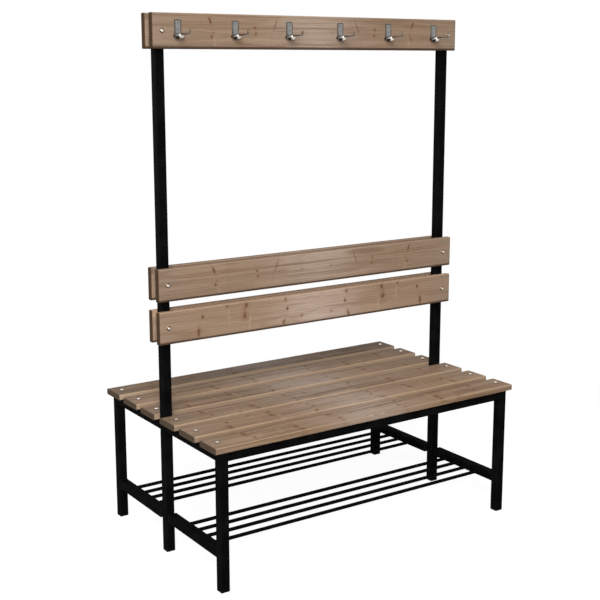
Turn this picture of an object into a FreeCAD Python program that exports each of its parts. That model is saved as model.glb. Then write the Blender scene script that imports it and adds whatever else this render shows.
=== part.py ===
"""Double-sided cloakroom bench: a welded tube frame that carries a slatted seat, a backrest and coat hooks on both
sides, with a rack of rods for shoes under each half of the seat.

Millimetres. X runs along the bench, -Y is the front, +Z is up, and the origin is on the floor under the middle.
"""
import FreeCAD, Part
import os
import re
import Sketcher

# Driving sizes: name, value and what it measures
SIZES = (
    ("board_length", 1200.0, "length of every slat and board"),
    ("slat_width", 97.0, "width of a seat slat"),
    ("slat_thickness", 20.0, "thickness of a seat slat"),
    ("slat_gap", 34.0, "gap between neighbouring slats of one half seat"),
    ("centre_gap", 40.0, "gap between the two half seats, where the posts stand"),
    ("seat_height", 465.0, "floor to the top of the seat"),
    ("board_thickness", 20.0, "thickness of the backrest and hook boards"),
    ("back_height", 105.0, "height of one backrest board"),
    ("back_above_seat", 239.0, "seat top to the lower backrest board"),
    ("back_gap", 32.5, "gap between the two backrest boards"),
    ("hook_board_height", 107.0, "height of a hook board"),
    ("total_height", 1727.0, "floor to the top of the hook boards"),
    ("timber_edge", 3.0, "rounding of every timber edge"),
    ("tube_side", 30.0, "outer side of the square tube"),
    ("tube_wall", 2.0, "wall of the square tube"),
    ("tube_corner", 2.0, "outer corner radius of the square tube"),
    ("board_overhang", 19.0, "timber end beyond the frame"),
    ("bolt_to_leg", 9.5, "outer seat bolt line to the inner face of a leg"),
    ("rack_height", 106.0, "floor to the underside of the rack crossbars"),
    ("crossbar_gap", 14.0, "free end of a crossbar to the post"),
    ("rod_diameter", 12.0, "diameter of a rack rod"),
    ("rod_rise", 17.0, "crossbar underside to the rod axis"),
    ("rod_first", 109.0, "middle of the bench to the innermost rod"),
    ("rod_pitch", 55.0, "spacing of the rods"),
    ("foot_thickness", 4.0, "flange of a foot plug"),
    ("cap_thickness", 3.0, "flange of a tube cap"),
    ("plug_depth", 18.0, "stem of a plug inside its tube"),
    ("plug_wall", 2.0, "wall of a plug stem"),
    ("plug_clearance", 0.25, "plug stem to the tube bore, each side"),
    ("bolt_diameter", 6.0, "shank of the dome-headed bolts"),
    ("bolt_clearance", 0.5, "bolt hole over bolt, on the diameter"),
    ("dome_diameter", 16.0, "dome head of the bolts and sleeve nuts"),
    ("dome_height", 4.0, "height of a dome head"),
    ("nut_across", 10.0, "nut across the flats"),
    ("nut_height", 6.0, "full height of a flanged nut"),
    ("nut_flange", 13.0, "flange diameter of a nut"),
    ("nut_flange_height", 1.5, "flange thickness of a nut"),
    ("thread_clearance", 0.2, "nut or sleeve bore over bolt, on the diameter"),
    ("bolt_end", 2.0, "bolt end past its nut"),
    ("sleeve_diameter", 9.0, "outside of a sleeve nut"),
    ("sleeve_short", 2.0, "sleeve end to the post"),
    ("sleeve_floor", 3.0, "solid part of a sleeve under its head"),
    ("bolt_short", 2.0, "bolt end to the floor of the sleeve bore"),
    ("hook_inset_left", 86.0, "left board end to the first hook, facing the board"),
    ("hook_inset_right", 104.0, "right board end to the last hook, facing the board"),
    ("hook_rise", 34.0, "hook board underside to the foot of a hook plate"),
    ("hook_plate_width", 22.0, "width of a hook plate"),
    ("hook_plate_height", 53.0, "height of a hook plate"),
    ("hook_plate_thickness", 4.5, "thickness of a hook plate"),
    ("hook_plate_corner", 3.0, "corner radius of a hook plate"),
    ("hook_plate_edge", 1.5, "rounding of a hook plate's front edge"),
    ("hook_root_width", 30.0, "width of the root of a hook arm at the board"),
    ("hook_root_height", 16.0, "height of the root"),
    ("hook_root_drop", 3.0, "foot of the plate to the underside of the root"),
    ("hook_belly_width", 27.0, "width of the root at its belly"),
    ("hook_belly_length", 18.0, "board to the belly"),
    ("hook_root_length", 28.0, "board to the end of the root"),
    ("hook_arm_diameter", 8.0, "arm at the end of the root"),
    ("hook_tip_diameter", 5.0, "arm at its upturned tip"),
    ("hook_reach", 82.0, "board to the outer side of the tip"),
    ("hook_bend", 9.0, "bend radius of the arm's centre line"),
    ("hook_tip_height", 24.5, "foot of the plate to the top of the tip"),
    ("hook_tip_round", 2.0, "rounding of the tip"),
    ("screw_diameter", 4.0, "shank of a hook screw"),
    ("screw_head", 8.0, "head of a hook screw"),
    ("screw_grip", 14.0, "hook screw in the timber"),
    ("screw_clearance", 0.4, "screw hole and countersink over screw, on the diameter"),
    ("screw_low", 24.0, "foot of the plate to the lower screw"),
    ("screw_spacing", 18.0, "spacing of the two screws of a hook"),
)

HOOK_NUMBERS = range(1, 7)
ROD_NUMBERS = range(1, 5)
HOOK_SPACES = len(HOOK_NUMBERS) - 1

# Sizes that follow from the driving ones
FOLLOWING = (
    ("tube_half", "tube_side / 2"),
    ("bore_half", "tube_half - tube_wall"),
    ("frame_length", "board_length - 2 * board_overhang"),
    ("inner_length", "frame_length - 2 * tube_side"),
    ("end_line", "(frame_length - tube_side) / 2"),
    ("rail_top", "seat_height - slat_thickness"),
    ("slat_pitch", "slat_width + slat_gap"),
    ("first_slat", "(centre_gap + slat_width) / 2"),
    ("second_slat", "first_slat + slat_pitch"),
    ("third_slat", "second_slat + slat_pitch"),
    ("leg_line", "third_slat + bolt_to_leg + tube_half"),
    ("cross_rail_length", "leg_line - tube_side"),
    ("leg_length", "rail_top - foot_thickness"),
    ("post_length", "total_height - cap_thickness - foot_thickness"),
    ("crossbar_end", "tube_half + crossbar_gap"),
    ("crossbar_length", "leg_line - tube_half - crossbar_end - cap_thickness"),
    ("first_slat_on_rail", "first_slat - tube_half"),
    ("second_slat_on_rail", "second_slat - tube_half"),
    ("third_slat_on_rail", "third_slat - tube_half"),
    ("lower_back_z", "seat_height + back_above_seat + back_height / 2"),
    ("upper_back_z", "lower_back_z + back_height + back_gap"),
    ("hook_board_z", "total_height - hook_board_height / 2"),
    ("lower_back_on_post", "lower_back_z - foot_thickness"),
    ("upper_back_on_post", "upper_back_z - foot_thickness"),
    ("hook_board_on_post", "hook_board_z - foot_thickness"),
    ("board_face", "tube_half + board_thickness"),
    ("plate_face", "board_face + hook_plate_thickness"),
    ("hook_pitch", "(board_length - hook_inset_left - hook_inset_right) / %d" % HOOK_SPACES),
    ("hook_foot_z", "total_height - hook_board_height + hook_rise"),
    ("length_half", "board_length / 2"),
    ("slat_half", "slat_width / 2"),
    ("back_half", "back_height / 2"),
    ("hook_board_half", "hook_board_height / 2"),
    ("bolt_hole", "bolt_diameter + bolt_clearance"),
    ("sleeve_hole", "sleeve_diameter + bolt_clearance"),
    ("thread_bore", "bolt_diameter + thread_clearance"),
    ("thread_radius", "thread_bore / 2"),
    ("stem_half", "bore_half - plug_clearance"),
    ("stem_bore_half", "stem_half - plug_wall"),
    ("dome_radius", "dome_diameter / 2"),
    ("dome_centre", "(dome_height ^ 2 - dome_radius ^ 2) / (2 * dome_height)"),
    ("shank_radius", "bolt_diameter / 2"),
    ("seat_bolt_length", "slat_thickness + tube_side + nut_height + bolt_end"),
    ("sleeve_radius", "sleeve_diameter / 2"),
    ("sleeve_depth", "board_thickness - sleeve_short"),
    ("board_bolt_length", "2 * board_thickness + tube_side - sleeve_floor - bolt_short"),
    ("nut_corner", "nut_across / sqrt(3)"),
    ("nut_corner_half", "nut_corner / 2"),
    ("nut_flat", "nut_across / 2"),
    ("plate_half", "hook_plate_width / 2"),
    ("root_half", "hook_root_width / 2"),
    ("belly_half", "hook_belly_width / 2"),
    ("root_half_height", "hook_root_height / 2"),
    ("root_z", "root_half_height - hook_root_drop"),
    ("arm_z", "hook_root_height - hook_root_drop - hook_arm_diameter / 2"),
    ("tip_line", "hook_reach - hook_tip_diameter / 2"),
    ("bend_start", "tip_line - hook_bend"),
    ("bend_end_z", "arm_z + hook_bend"),
    ("screw_hole", "screw_diameter + screw_clearance"),
    ("screw_sink", "screw_head + screw_clearance"),
    ("screw_high", "screw_low + screw_spacing"),
    ("screw_radius", "screw_diameter / 2"),
    ("screw_head_radius", "screw_head / 2"),
    ("screw_head_depth", "screw_head_radius - screw_radius"),
    ("screw_length", "hook_plate_thickness + screw_grip"),
    ("screw_low_on_board", "hook_rise + screw_low - hook_board_half"),
    ("screw_high_on_board", "hook_rise + screw_high - hook_board_half"),
)

SLATS = ("-third_slat", "-second_slat", "-first_slat", "first_slat", "second_slat", "third_slat")
TOLERANCE = 1e-4

X_AXIS = FreeCAD.Vector(1, 0, 0)
Y_AXIS = FreeCAD.Vector(0, 1, 0)
Z_AXIS = FreeCAD.Vector(0, 0, 1)
UPRIGHT = FreeCAD.Rotation()
HALF_TURN = FreeCAD.Rotation(Z_AXIS, 180)
UPSIDE_DOWN = FreeCAD.Rotation(X_AXIS, 180)
ALONG_X = FreeCAD.Rotation(Y_AXIS, 90)
ALONG_Y = FreeCAD.Rotation(X_AXIS, -90)
FACING_FRONT = FreeCAD.Rotation(X_AXIS, 90)
FACING_BACK = HALF_TURN.multiply(FACING_FRONT)

# Sides of the bench: name and sign
ENDS = (("left", "-"), ("right", ""))
FACES = (("front", "-"), ("back", ""))
OUTWARD = {"front": FACING_FRONT, "back": ALONG_Y}
FACING = {"front": FACING_FRONT, "back": FACING_BACK}
SCREW_ROWS = ("screw_low_on_board", "screw_high_on_board")

doc = FreeCAD.newDocument("CloakroomBench")
sheet = doc.addObject("Spreadsheet::Sheet", "Sizes")
nodes = []


def fill_sheet():
    """Writes the driving sizes as plain numbers and the following ones as formulas, each under its name."""
    rows = [(name, str(value), words) for name, value, words in SIZES]
    rows += [(name, "=" + formula, formula) for name, formula in FOLLOWING]
    for number in HOOK_NUMBERS:
        formula = "hook_inset_left - board_length / 2 + %d * hook_pitch" % (number - 1)
        rows.append(("hook_x_%d" % number, "=" + formula, formula))
    for number in ROD_NUMBERS:
        formula = "rod_first + %d * rod_pitch" % (number - 1)
        rows.append(("rod_y_%d" % number, "=" + formula, formula))
    for row, (name, content, words) in enumerate(rows, start=1):
        sheet.set("A%d" % row, words)
        sheet.set("B%d" % row, content)
        sheet.setAlias("B%d" % row, name)
    doc.recompute()


def bound(text):
    """A formula of size names, as the document's expressions refer to them."""
    return re.sub(r"[a-z][a-z0-9_]*", lambda word: "Sizes." + word.group(), text)


def value(term):
    """The present number of a size name, which a minus sign may precede, or of a plain zero."""
    if term == "0":
        return 0.0
    sign = -1.0 if term.startswith("-") else 1.0
    return sign * float(sheet.get(term.lstrip("-")))


def place(piece, x="0", y="0", z="0", turn=UPRIGHT):
    """Sets a piece's turn, and ties its place to the sheet."""
    piece.Placement = FreeCAD.Placement(FreeCAD.Vector(), turn)
    for axis, text in zip("xyz", (x, y, z)):
        piece.setExpression("Placement.Base." + axis, bound(text))


def keep(piece, label):
    """Marks a piece as one of the bench's own, under the name of its file."""
    piece.Label = label
    nodes.append(piece)
    return piece


def new_body(name):
    """An empty body."""
    return doc.addObject("PartDesign::Body", name)


def new_sketch(body, role, offset="0"):
    """A sketch on one of the body's own base planes, or parallel to it at a size."""
    sketch = body.newObject("Sketcher::SketchObject", body.Name + "_sketch")
    sketch.AttachmentSupport = [(next(p for p in body.Origin.OriginFeatures if p.Role == role), "")]
    sketch.MapMode = "FlatFace"
    if offset != "0":
        sketch.setExpression("AttachmentOffset.Base.z", bound(offset))
    return sketch


def hold(sketch, element, point, x, y):
    """Ties a point of a sketch to two coordinates, each a size name, a plain zero or None for free."""
    for kind, axis, term in (("DistanceX", -2, x), ("DistanceY", -1, y)):
        if term is None:
            continue
        if term == "0":
            sketch.addConstraint(Sketcher.Constraint("PointOnObject", element, point, axis))
            continue
        number = sketch.addConstraint(Sketcher.Constraint(kind, -1, 1, element, point, value(term)))
        sketch.setExpression("Constraints[%d]" % number, bound(term))


def outline(sketch, points, arcs=None, closed=True):
    """Draws a chain of lines and arcs through points given by size names.

    arcs gives the centre of each edge that is round, by the edge's number in the chain. The two ends and the
    centre's first coordinate are tied to the sheet, and the other follows from them.
    """
    centres = arcs or {}
    corners = [FreeCAD.Vector(value(x), value(y), 0) for x, y in points]
    edges = []
    for number in range(len(points) if closed else len(points) - 1):
        first, last = corners[number], corners[(number + 1) % len(corners)]
        if number not in centres:
            edges.append((sketch.addGeometry(Part.LineSegment(first, last)), 1, 2))
            continue
        x, y = centres[number]
        centre = FreeCAD.Vector(value(x), value(y), 0)
        to_crown = (first + last) / 2 - centre
        crown = centre + to_crown.normalize() * (first - centre).Length
        turns_left = (first - centre).cross(last - centre).z > 0
        if turns_left:
            edges.append((sketch.addGeometry(Part.Arc(first, crown, last)), 1, 2))
        else:
            edges.append((sketch.addGeometry(Part.Arc(last, crown, first)), 2, 1))
        hold(sketch, edges[-1][0], 3, x, None)
    for number, (edge, begin, _) in enumerate(edges):
        hold(sketch, edge, begin, *points[number])
        before, _, finish = edges[number - 1]
        if closed or number:
            sketch.addConstraint(Sketcher.Constraint("Coincident", before, finish, edge, begin))
    if not closed:
        edge, _, finish = edges[-1]
        hold(sketch, edge, finish, *points[-1])


def rectangle(sketch, half_width, half_height):
    """Draws a rectangle about the sketch's origin from its half sizes."""
    w, t = half_width, half_height
    outline(sketch, [("-" + w, "-" + t), (w, "-" + t), (w, t), ("-" + w, t)])


def circle(sketch, diameter, x="0", y="0"):
    """Draws a circle at a place given by size names."""
    centre = FreeCAD.Vector(value(x), value(y), 0)
    edge = sketch.addGeometry(Part.Circle(centre, Z_AXIS, value(diameter) / 2))
    hold(sketch, edge, 3, x, y)
    number = sketch.addConstraint(Sketcher.Constraint("Diameter", edge, value(diameter)))
    sketch.setExpression("Constraints[%d]" % number, bound(diameter))


def pad(body, sketch, length, reverse=False):
    """Raises a sketch into the body."""
    feature = body.newObject("PartDesign::Pad", body.Name + "_pad")
    feature.Profile = sketch
    feature.Reversed = reverse
    feature.setExpression("Length", bound(length))
    doc.recompute()
    return feature


def pocket(body, sketch, depth=None):
    """Cuts a sketch into the body from its upper side to a depth, or right through it both ways."""
    feature = body.newObject("PartDesign::Pocket", body.Name + "_pocket")
    feature.Profile = sketch
    if depth is None:
        feature.Type = "ThroughAll"
        feature.SideType = "Symmetric"
    else:
        feature.setExpression("Length", bound(depth))
    doc.recompute()
    return feature


def revolve(body, sketch):
    """Turns a half section about the sketch's vertical axis."""
    feature = body.newObject("PartDesign::Revolution", body.Name + "_turned")
    feature.Profile = sketch
    feature.ReferenceAxis = (sketch, ["V_Axis"])
    feature.Angle = 360
    doc.recompute()
    return feature


def fillet(body, base, radius, wanted):
    """Rounds those edges of a feature that a test of the edge picks."""
    names = ["Edge%d" % number for number, edge in enumerate(base.Shape.Edges, start=1) if wanted(edge)]
    feature = body.newObject("PartDesign::Fillet", body.Name + "_fillet")
    feature.Base = (base, names)
    feature.setExpression("Radius", bound(radius))
    doc.recompute()
    return feature


def runs_along(axis):
    """A test for straight edges along an axis."""
    def test(edge):
        ends = [v.Point for v in edge.Vertexes]
        return len(ends) == 2 and (ends[1] - ends[0]).cross(axis).Length < TOLERANCE
    return test


def lies_at(axis, height):
    """A test for edges that lie flat at a height along an axis."""
    def test(edge):
        return all(abs(v.Point.dot(axis) - height) < TOLERANCE for v in edge.Vertexes)
    return test


def square_tube(label, length, holes=()):
    """A square tube along its own Z with round corners, cross-drilled for bolts at the given heights."""
    body = new_body(label)
    section = new_sketch(body, "XY_Plane")
    rectangle(section, "tube_half", "tube_half")
    rectangle(section, "bore_half", "bore_half")
    tube = pad(body, section, length)
    corner = value("tube_half") * 2 ** 0.5
    along = runs_along(Z_AXIS)
    fillet(body, tube, "tube_corner", lambda edge: along(edge) and abs(reach_of(edge) - corner) < TOLERANCE)
    if holes:
        drill = new_sketch(body, "XZ_Plane")
        for height in holes:
            circle(drill, "bolt_hole", y=height)
        pocket(body, drill)
    return keep(body, label)


def reach_of(edge):
    """Distance of an edge's middle from the Z axis."""
    middle = edge.CenterOfMass
    return (middle.x ** 2 + middle.y ** 2) ** 0.5


def timber(label, half_width, thickness, hole, screw_rows=()):
    """A planed board lying in XY with all edges eased, drilled near both ends, and for screws in rows if it has any."""
    body = new_body(label)
    face = new_sketch(body, "XY_Plane")
    rectangle(face, "length_half", half_width)
    board = pad(body, face, thickness)
    fillet(body, board, "timber_edge", lambda edge: True)
    drill = new_sketch(body, "XY_Plane")
    for _, sign in ENDS:
        circle(drill, hole, x=sign + "end_line")
    pocket(body, drill)
    if screw_rows:
        pilots = new_sketch(body, "XY_Plane", thickness)
        for number in HOOK_NUMBERS:
            for row in screw_rows:
                circle(pilots, "screw_hole", x="hook_x_%d" % number, y=row)
        pocket(body, pilots, "screw_grip")
    return keep(body, label)


def plug(name, thickness):
    """A square plastic plug: a flange as wide as the tube under a hollow stem that fits its bore."""
    body = new_body(name)
    flange = new_sketch(body, "XY_Plane")
    rectangle(flange, "tube_half", "tube_half")
    base = pad(body, flange, thickness)
    fillet(body, base, "tube_corner", runs_along(Z_AXIS))
    stem = new_sketch(body, "XY_Plane", thickness)
    rectangle(stem, "stem_half", "stem_half")
    rectangle(stem, "stem_bore_half", "stem_bore_half")
    pad(body, stem, "plug_depth")
    return body


def domed_bolt(name, length):
    """A dome-headed bolt with its shank down from the seat of the head at its origin."""
    body = new_body(name)
    half = new_sketch(body, "XZ_Plane")
    points = [("0", "dome_height"), ("0", "-" + length), ("shank_radius", "-" + length), ("shank_radius", "0"),
              ("dome_radius", "0")]
    outline(half, points, {4: ("0", "dome_centre")})
    revolve(body, half)
    return body


def sleeve_nut(name):
    """A dome-headed sleeve nut with its sleeve down from the seat of the head, bored from below."""
    body = new_body(name)
    half = new_sketch(body, "XZ_Plane")
    points = [("0", "dome_height"), ("0", "-sleeve_floor"), ("thread_radius", "-sleeve_floor"),
              ("thread_radius", "-sleeve_depth"), ("sleeve_radius", "-sleeve_depth"), ("sleeve_radius", "0"),
              ("dome_radius", "0")]
    outline(half, points, {6: ("0", "dome_centre")})
    revolve(body, half)
    return body


def flanged_nut(name):
    """A hexagon nut under its flange, hanging from the seat of the flange at its origin."""
    body = new_body(name)
    flange = new_sketch(body, "XY_Plane")
    circle(flange, "nut_flange")
    circle(flange, "thread_bore")
    pad(body, flange, "nut_flange_height", reverse=True)
    hexagon = new_sketch(body, "XY_Plane")
    outline(hexagon, [("nut_corner", "0"), ("nut_corner_half", "nut_flat"), ("-nut_corner_half", "nut_flat"),
                      ("-nut_corner", "0"), ("-nut_corner_half", "-nut_flat"), ("nut_corner_half", "-nut_flat")])
    circle(hexagon, "thread_bore")
    pad(body, hexagon, "nut_height", reverse=True)
    return body


def hook_screw(name):
    """A countersunk screw with its shank down from the flat of the head at its origin."""
    body = new_body(name)
    half = new_sketch(body, "XZ_Plane")
    outline(half, [("0", "0"), ("0", "-screw_length"), ("screw_radius", "-screw_length"),
                   ("screw_radius", "-screw_head_depth"), ("screw_head_radius", "0")])
    revolve(body, half)
    return body


def coat_hook(label):
    """A cast hook: a plate with eased edges, a stout root that draws in to an arm, and the arm's upturned tip.

    Its back lies on the board in XZ, with the foot of the plate at the origin, and the arm reaches along +Y.
    """
    body = new_body(label)
    face = new_sketch(body, "XZ_Plane")
    outline(face, [("-plate_half", "0"), ("plate_half", "0"), ("plate_half", "hook_plate_height"),
                   ("-plate_half", "hook_plate_height")])
    plate = pad(body, face, "hook_plate_thickness", reverse=True)
    plate = fillet(body, plate, "hook_plate_corner", runs_along(Y_AXIS))
    plate = fillet(body, plate, "hook_plate_edge", lies_at(Y_AXIS, value("hook_plate_thickness")))

    flare = new_sketch(body, "XZ_Plane")
    ellipse(flare, "root_half", "root_half_height", "root_z")
    belly = new_sketch(body, "XZ_Plane", "-hook_belly_length")
    ellipse(belly, "belly_half", "root_half_height", "root_z")
    neck = new_sketch(body, "XZ_Plane", "-hook_root_length")
    circle(neck, "hook_arm_diameter", y="arm_z")
    root = body.newObject("PartDesign::AdditiveLoft", body.Name + "_root")
    root.Profile = flare
    root.Sections = [(belly, [""]), (neck, [""])]
    doc.recompute()

    route = new_sketch(body, "YZ_Plane")
    outline(route, [("hook_root_length", "arm_z"), ("bend_start", "arm_z"), ("tip_line", "bend_end_z"),
                    ("tip_line", "hook_tip_height")], {1: ("bend_start", "bend_end_z")}, closed=False)
    start = new_sketch(body, "XZ_Plane", "-hook_root_length")
    circle(start, "hook_arm_diameter", y="arm_z")
    end = new_sketch(body, "XY_Plane", "hook_tip_height")
    circle(end, "hook_tip_diameter", y="tip_line")
    arm = body.newObject("PartDesign::AdditivePipe", body.Name + "_arm")
    arm.Profile = start
    arm.Spine = (route, ["Edge1", "Edge2", "Edge3"])
    arm.Transformation = "Multisection"
    arm.Sections = [(end, [""])]
    doc.recompute()
    in_tip = lies_at(Z_AXIS, value("hook_tip_height"))
    beyond = value("bend_start")
    fillet(body, arm, "hook_tip_round", lambda edge: in_tip(edge) and edge.Vertexes[0].Y > beyond)

    drill = new_sketch(body, "XZ_Plane", "-hook_plate_thickness")
    for height in ("screw_low", "screw_high"):
        circle(drill, "screw_hole", y=height)
    sunk = body.newObject("PartDesign::Hole", body.Name + "_screw_holes")
    sunk.Profile = drill
    doc.recompute()
    sunk.DepthType = "ThroughAll"
    sunk.Reversed = True
    sunk.HoleCutType = "Countersink"
    sunk.HoleCutCustomValues = True
    sunk.HoleCutCountersinkAngle = 90
    sunk.setExpression("Diameter", bound("screw_hole"))
    sunk.setExpression("HoleCutDiameter", bound("screw_sink"))
    doc.recompute()
    return keep(body, label)


def ellipse(sketch, half_width, half_height, y):
    """Draws an upright or flat ellipse on the sketch's vertical axis."""
    centre = FreeCAD.Vector(0, value(y), 0)
    wide = centre + X_AXIS * value(half_width)
    tall = centre + Y_AXIS * value(half_height)
    edge = sketch.addGeometry(Part.Ellipse(wide, tall, centre))
    sketch.exposeInternalGeometry(edge)
    hold(sketch, edge, 3, "0", y)
    major, minor = edge + 1, edge + 2
    hold(sketch, major, 2, half_width, y)
    number = sketch.addConstraint(Sketcher.Constraint("Distance", minor, 2 * value(half_height)))
    sketch.setExpression("Constraints[%d]" % number, bound("2 * " + half_height))


def group(label, copies):
    """One named group of separate solids: copies of a master, each with its x, y, z and turn."""
    links = []
    for master, x, y, z, turn in copies:
        link = doc.addObject("App::Link", label + "_copy")
        link.LinkedObject = master
        place(link, x, y, z, turn)
        links.append(link)
    compound = doc.addObject("Part::Compound", label)
    compound.Links = links
    return keep(compound, label)


def build_frame():
    """Legs, posts, rails, rack crossbars and rods."""
    seat_bolts = ("first_slat_on_rail", "second_slat_on_rail", "third_slat_on_rail")
    board_bolts = ("lower_back_on_post", "upper_back_on_post", "hook_board_on_post")
    for end, x_sign in ENDS:
        end_x = x_sign + "end_line"
        place(square_tube("post_" + end, "post_length", board_bolts), end_x, "0", "foot_thickness")
        for face, y_sign in FACES:
            outward = OUTWARD[face]
            where = face + "_" + end
            place(square_tube("leg_" + where, "leg_length"), end_x, y_sign + "leg_line", "foot_thickness")
            place(square_tube("seat_cross_rail_" + where, "cross_rail_length", seat_bolts),
                  end_x, y_sign + "tube_half", "rail_top - tube_half", outward)
            place(square_tube("rack_crossbar_" + where, "crossbar_length"),
                  end_x, y_sign + "(crossbar_end + cap_thickness)", "rack_height + tube_half", outward)
    for face, y_sign in FACES:
        place(square_tube("seat_long_rail_" + face, "inner_length"),
              "-inner_length / 2", y_sign + "leg_line", "rail_top - tube_half", ALONG_X)
        for number in ROD_NUMBERS:
            rod = doc.addObject("Part::Cylinder", "rod")
            rod.setExpression("Radius", bound("rod_diameter / 2"))
            rod.setExpression("Height", bound("inner_length"))
            place(rod, "-inner_length / 2", y_sign + "rod_y_%d" % number, "rack_height + rod_rise", ALONG_X)
            keep(rod, "rack_rod_%s_%d" % (face, number))


def build_plugs():
    """Plastic plugs in the open tube ends."""
    foot = plug("foot_plug", "foot_thickness")
    cap = plug("tube_cap", "cap_thickness")
    lines = ("-leg_line", "0", "leg_line")
    group("foot_plugs", [(foot, sign + "end_line", y, "0", UPRIGHT) for _, sign in ENDS for y in lines])
    group("post_caps", [(cap, sign + "end_line", "0", "total_height", UPSIDE_DOWN) for _, sign in ENDS])
    group("crossbar_end_plugs",
          [(cap, x_sign + "end_line", y_sign + "crossbar_end", "rack_height + tube_half", OUTWARD[face])
           for _, x_sign in ENDS for face, y_sign in FACES])


def build_timber():
    """Seat slats, backrest boards and hook boards."""
    for number, y in enumerate(SLATS, start=1):
        place(timber("seat_slat_%d" % number, "slat_half", "slat_thickness", "bolt_hole"), "0", y, "rail_top")
    for face, y_sign in FACES:
        hole = "bolt_hole" if face == "front" else "sleeve_hole"
        for name, half, z, rows in (("backrest_lower_", "back_half", "lower_back_z", ()),
                                    ("backrest_upper_", "back_half", "upper_back_z", ()),
                                    ("hook_board_", "hook_board_half", "hook_board_z", SCREW_ROWS)):
            board = timber(name + face, half, "board_thickness", hole, rows)
            place(board, "0", y_sign + "tube_half", z, FACING[face])


def build_fasteners():
    """Bolts, nuts and sleeve nuts, each kind as one group."""
    seat = [(sign + "end_line", y) for _, sign in ENDS for y in SLATS]
    bolt = domed_bolt("seat_bolt", "seat_bolt_length")
    group("seat_bolts", [(bolt, x, y, "seat_height", UPRIGHT) for x, y in seat])
    nut = flanged_nut("seat_nut")
    group("seat_nuts", [(nut, x, y, "rail_top - tube_side", UPRIGHT) for x, y in seat])
    boards = [(sign + "end_line", z) for _, sign in ENDS for z in ("lower_back_z", "upper_back_z", "hook_board_z")]
    bolt = domed_bolt("board_bolt", "board_bolt_length")
    group("board_bolts", [(bolt, x, "-board_face", z, FACING_FRONT) for x, z in boards])
    nut = sleeve_nut("sleeve_nut")
    group("board_sleeve_nuts", [(nut, x, "board_face", z, FACING_BACK) for x, z in boards])


def build_hooks():
    """Coat hooks on both hook boards, and their screws."""
    screw = hook_screw("hook_screw")
    screws = []
    for face, y_sign in FACES:
        x_sign = "" if face == "front" else "-"
        turn = HALF_TURN if face == "front" else UPRIGHT
        for number in HOOK_NUMBERS:
            x = x_sign + "hook_x_%d" % number
            place(coat_hook("coat_hook_%s_%d" % (face, number)), x, y_sign + "board_face", "hook_foot_z", turn)
            for height in ("screw_low", "screw_high"):
                screws.append((screw, x, y_sign + "plate_face", "hook_foot_z + " + height, FACING[face]))
    group("hook_screws", screws)


def check():
    """Stops if any object failed, or if any piece's shape is missing or broken."""
    failed = [item.Label for item in doc.Objects if {"Invalid", "Error"} & set(item.State)]
    broken = [piece.Label for piece in nodes if piece.Shape.isNull() or not piece.Shape.isValid()]
    if failed or broken:
        raise RuntimeError("failed: %s, broken: %s" % (failed, broken))


def write():
    """Writes each piece to a file of its own name."""
    os.makedirs("parts", exist_ok=True)
    for piece in nodes:
        piece.Shape.exportStep("parts/%s.step" % piece.Label)
        print(piece.Label, len(piece.Shape.Solids), round(piece.Shape.Volume))


fill_sheet()
build_frame()
build_plugs()
build_timber()
build_fasteners()
build_hooks()
doc.recompute()
check()
write()
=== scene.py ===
"""Looks of the double-sided cloakroom bench: planed timber, finishes, weld beads and hook screws.

They go on the bench's CAD frame. Metres, in the CAD's own axes: X runs along the bench, -Y is the front, +Z
is up, and the origin is on the floor under the middle. Patterns on a piece are laid out in millimetres from
the piece's own middle.
"""
import logging
import math
from collections.abc import Iterable, Mapping
from dataclasses import dataclass, replace
from enum import Enum

import bpy
import numpy as np
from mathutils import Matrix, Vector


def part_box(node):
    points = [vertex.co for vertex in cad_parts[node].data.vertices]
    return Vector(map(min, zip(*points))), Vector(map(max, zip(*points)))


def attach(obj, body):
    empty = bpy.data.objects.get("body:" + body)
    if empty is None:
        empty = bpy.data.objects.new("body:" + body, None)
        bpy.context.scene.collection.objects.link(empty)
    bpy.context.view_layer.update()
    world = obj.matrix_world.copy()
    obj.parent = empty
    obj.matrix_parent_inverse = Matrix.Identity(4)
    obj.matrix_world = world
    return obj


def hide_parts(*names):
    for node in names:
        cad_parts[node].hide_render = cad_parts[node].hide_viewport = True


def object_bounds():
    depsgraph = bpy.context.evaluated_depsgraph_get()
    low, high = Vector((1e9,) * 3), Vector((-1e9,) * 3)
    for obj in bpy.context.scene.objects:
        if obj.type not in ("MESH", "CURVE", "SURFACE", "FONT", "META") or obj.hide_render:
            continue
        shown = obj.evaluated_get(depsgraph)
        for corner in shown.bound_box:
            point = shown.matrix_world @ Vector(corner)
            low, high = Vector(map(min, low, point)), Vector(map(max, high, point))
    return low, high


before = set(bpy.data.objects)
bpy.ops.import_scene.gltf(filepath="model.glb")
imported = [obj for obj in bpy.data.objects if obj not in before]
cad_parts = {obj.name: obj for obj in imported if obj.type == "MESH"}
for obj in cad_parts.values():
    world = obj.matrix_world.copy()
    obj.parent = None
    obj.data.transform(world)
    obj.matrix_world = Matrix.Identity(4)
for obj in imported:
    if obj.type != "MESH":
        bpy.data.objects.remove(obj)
CAD_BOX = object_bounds()

LOG = logging.getLogger("cloakroom_bench")
MM = 0.001
ROOT = "root"

Socket = bpy.types.NodeSocket
Colour = tuple[float, float, float, float]
Triple = tuple[float, float, float]
Input = Socket | float | tuple[float, ...]
# Where a smooth step begins and ends, then its values there if they aren't 0 and 1
Fade = tuple[float, ...]
# How far a tone covers what is under it, then the tone
Layer = tuple[Socket, Input]


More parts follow.
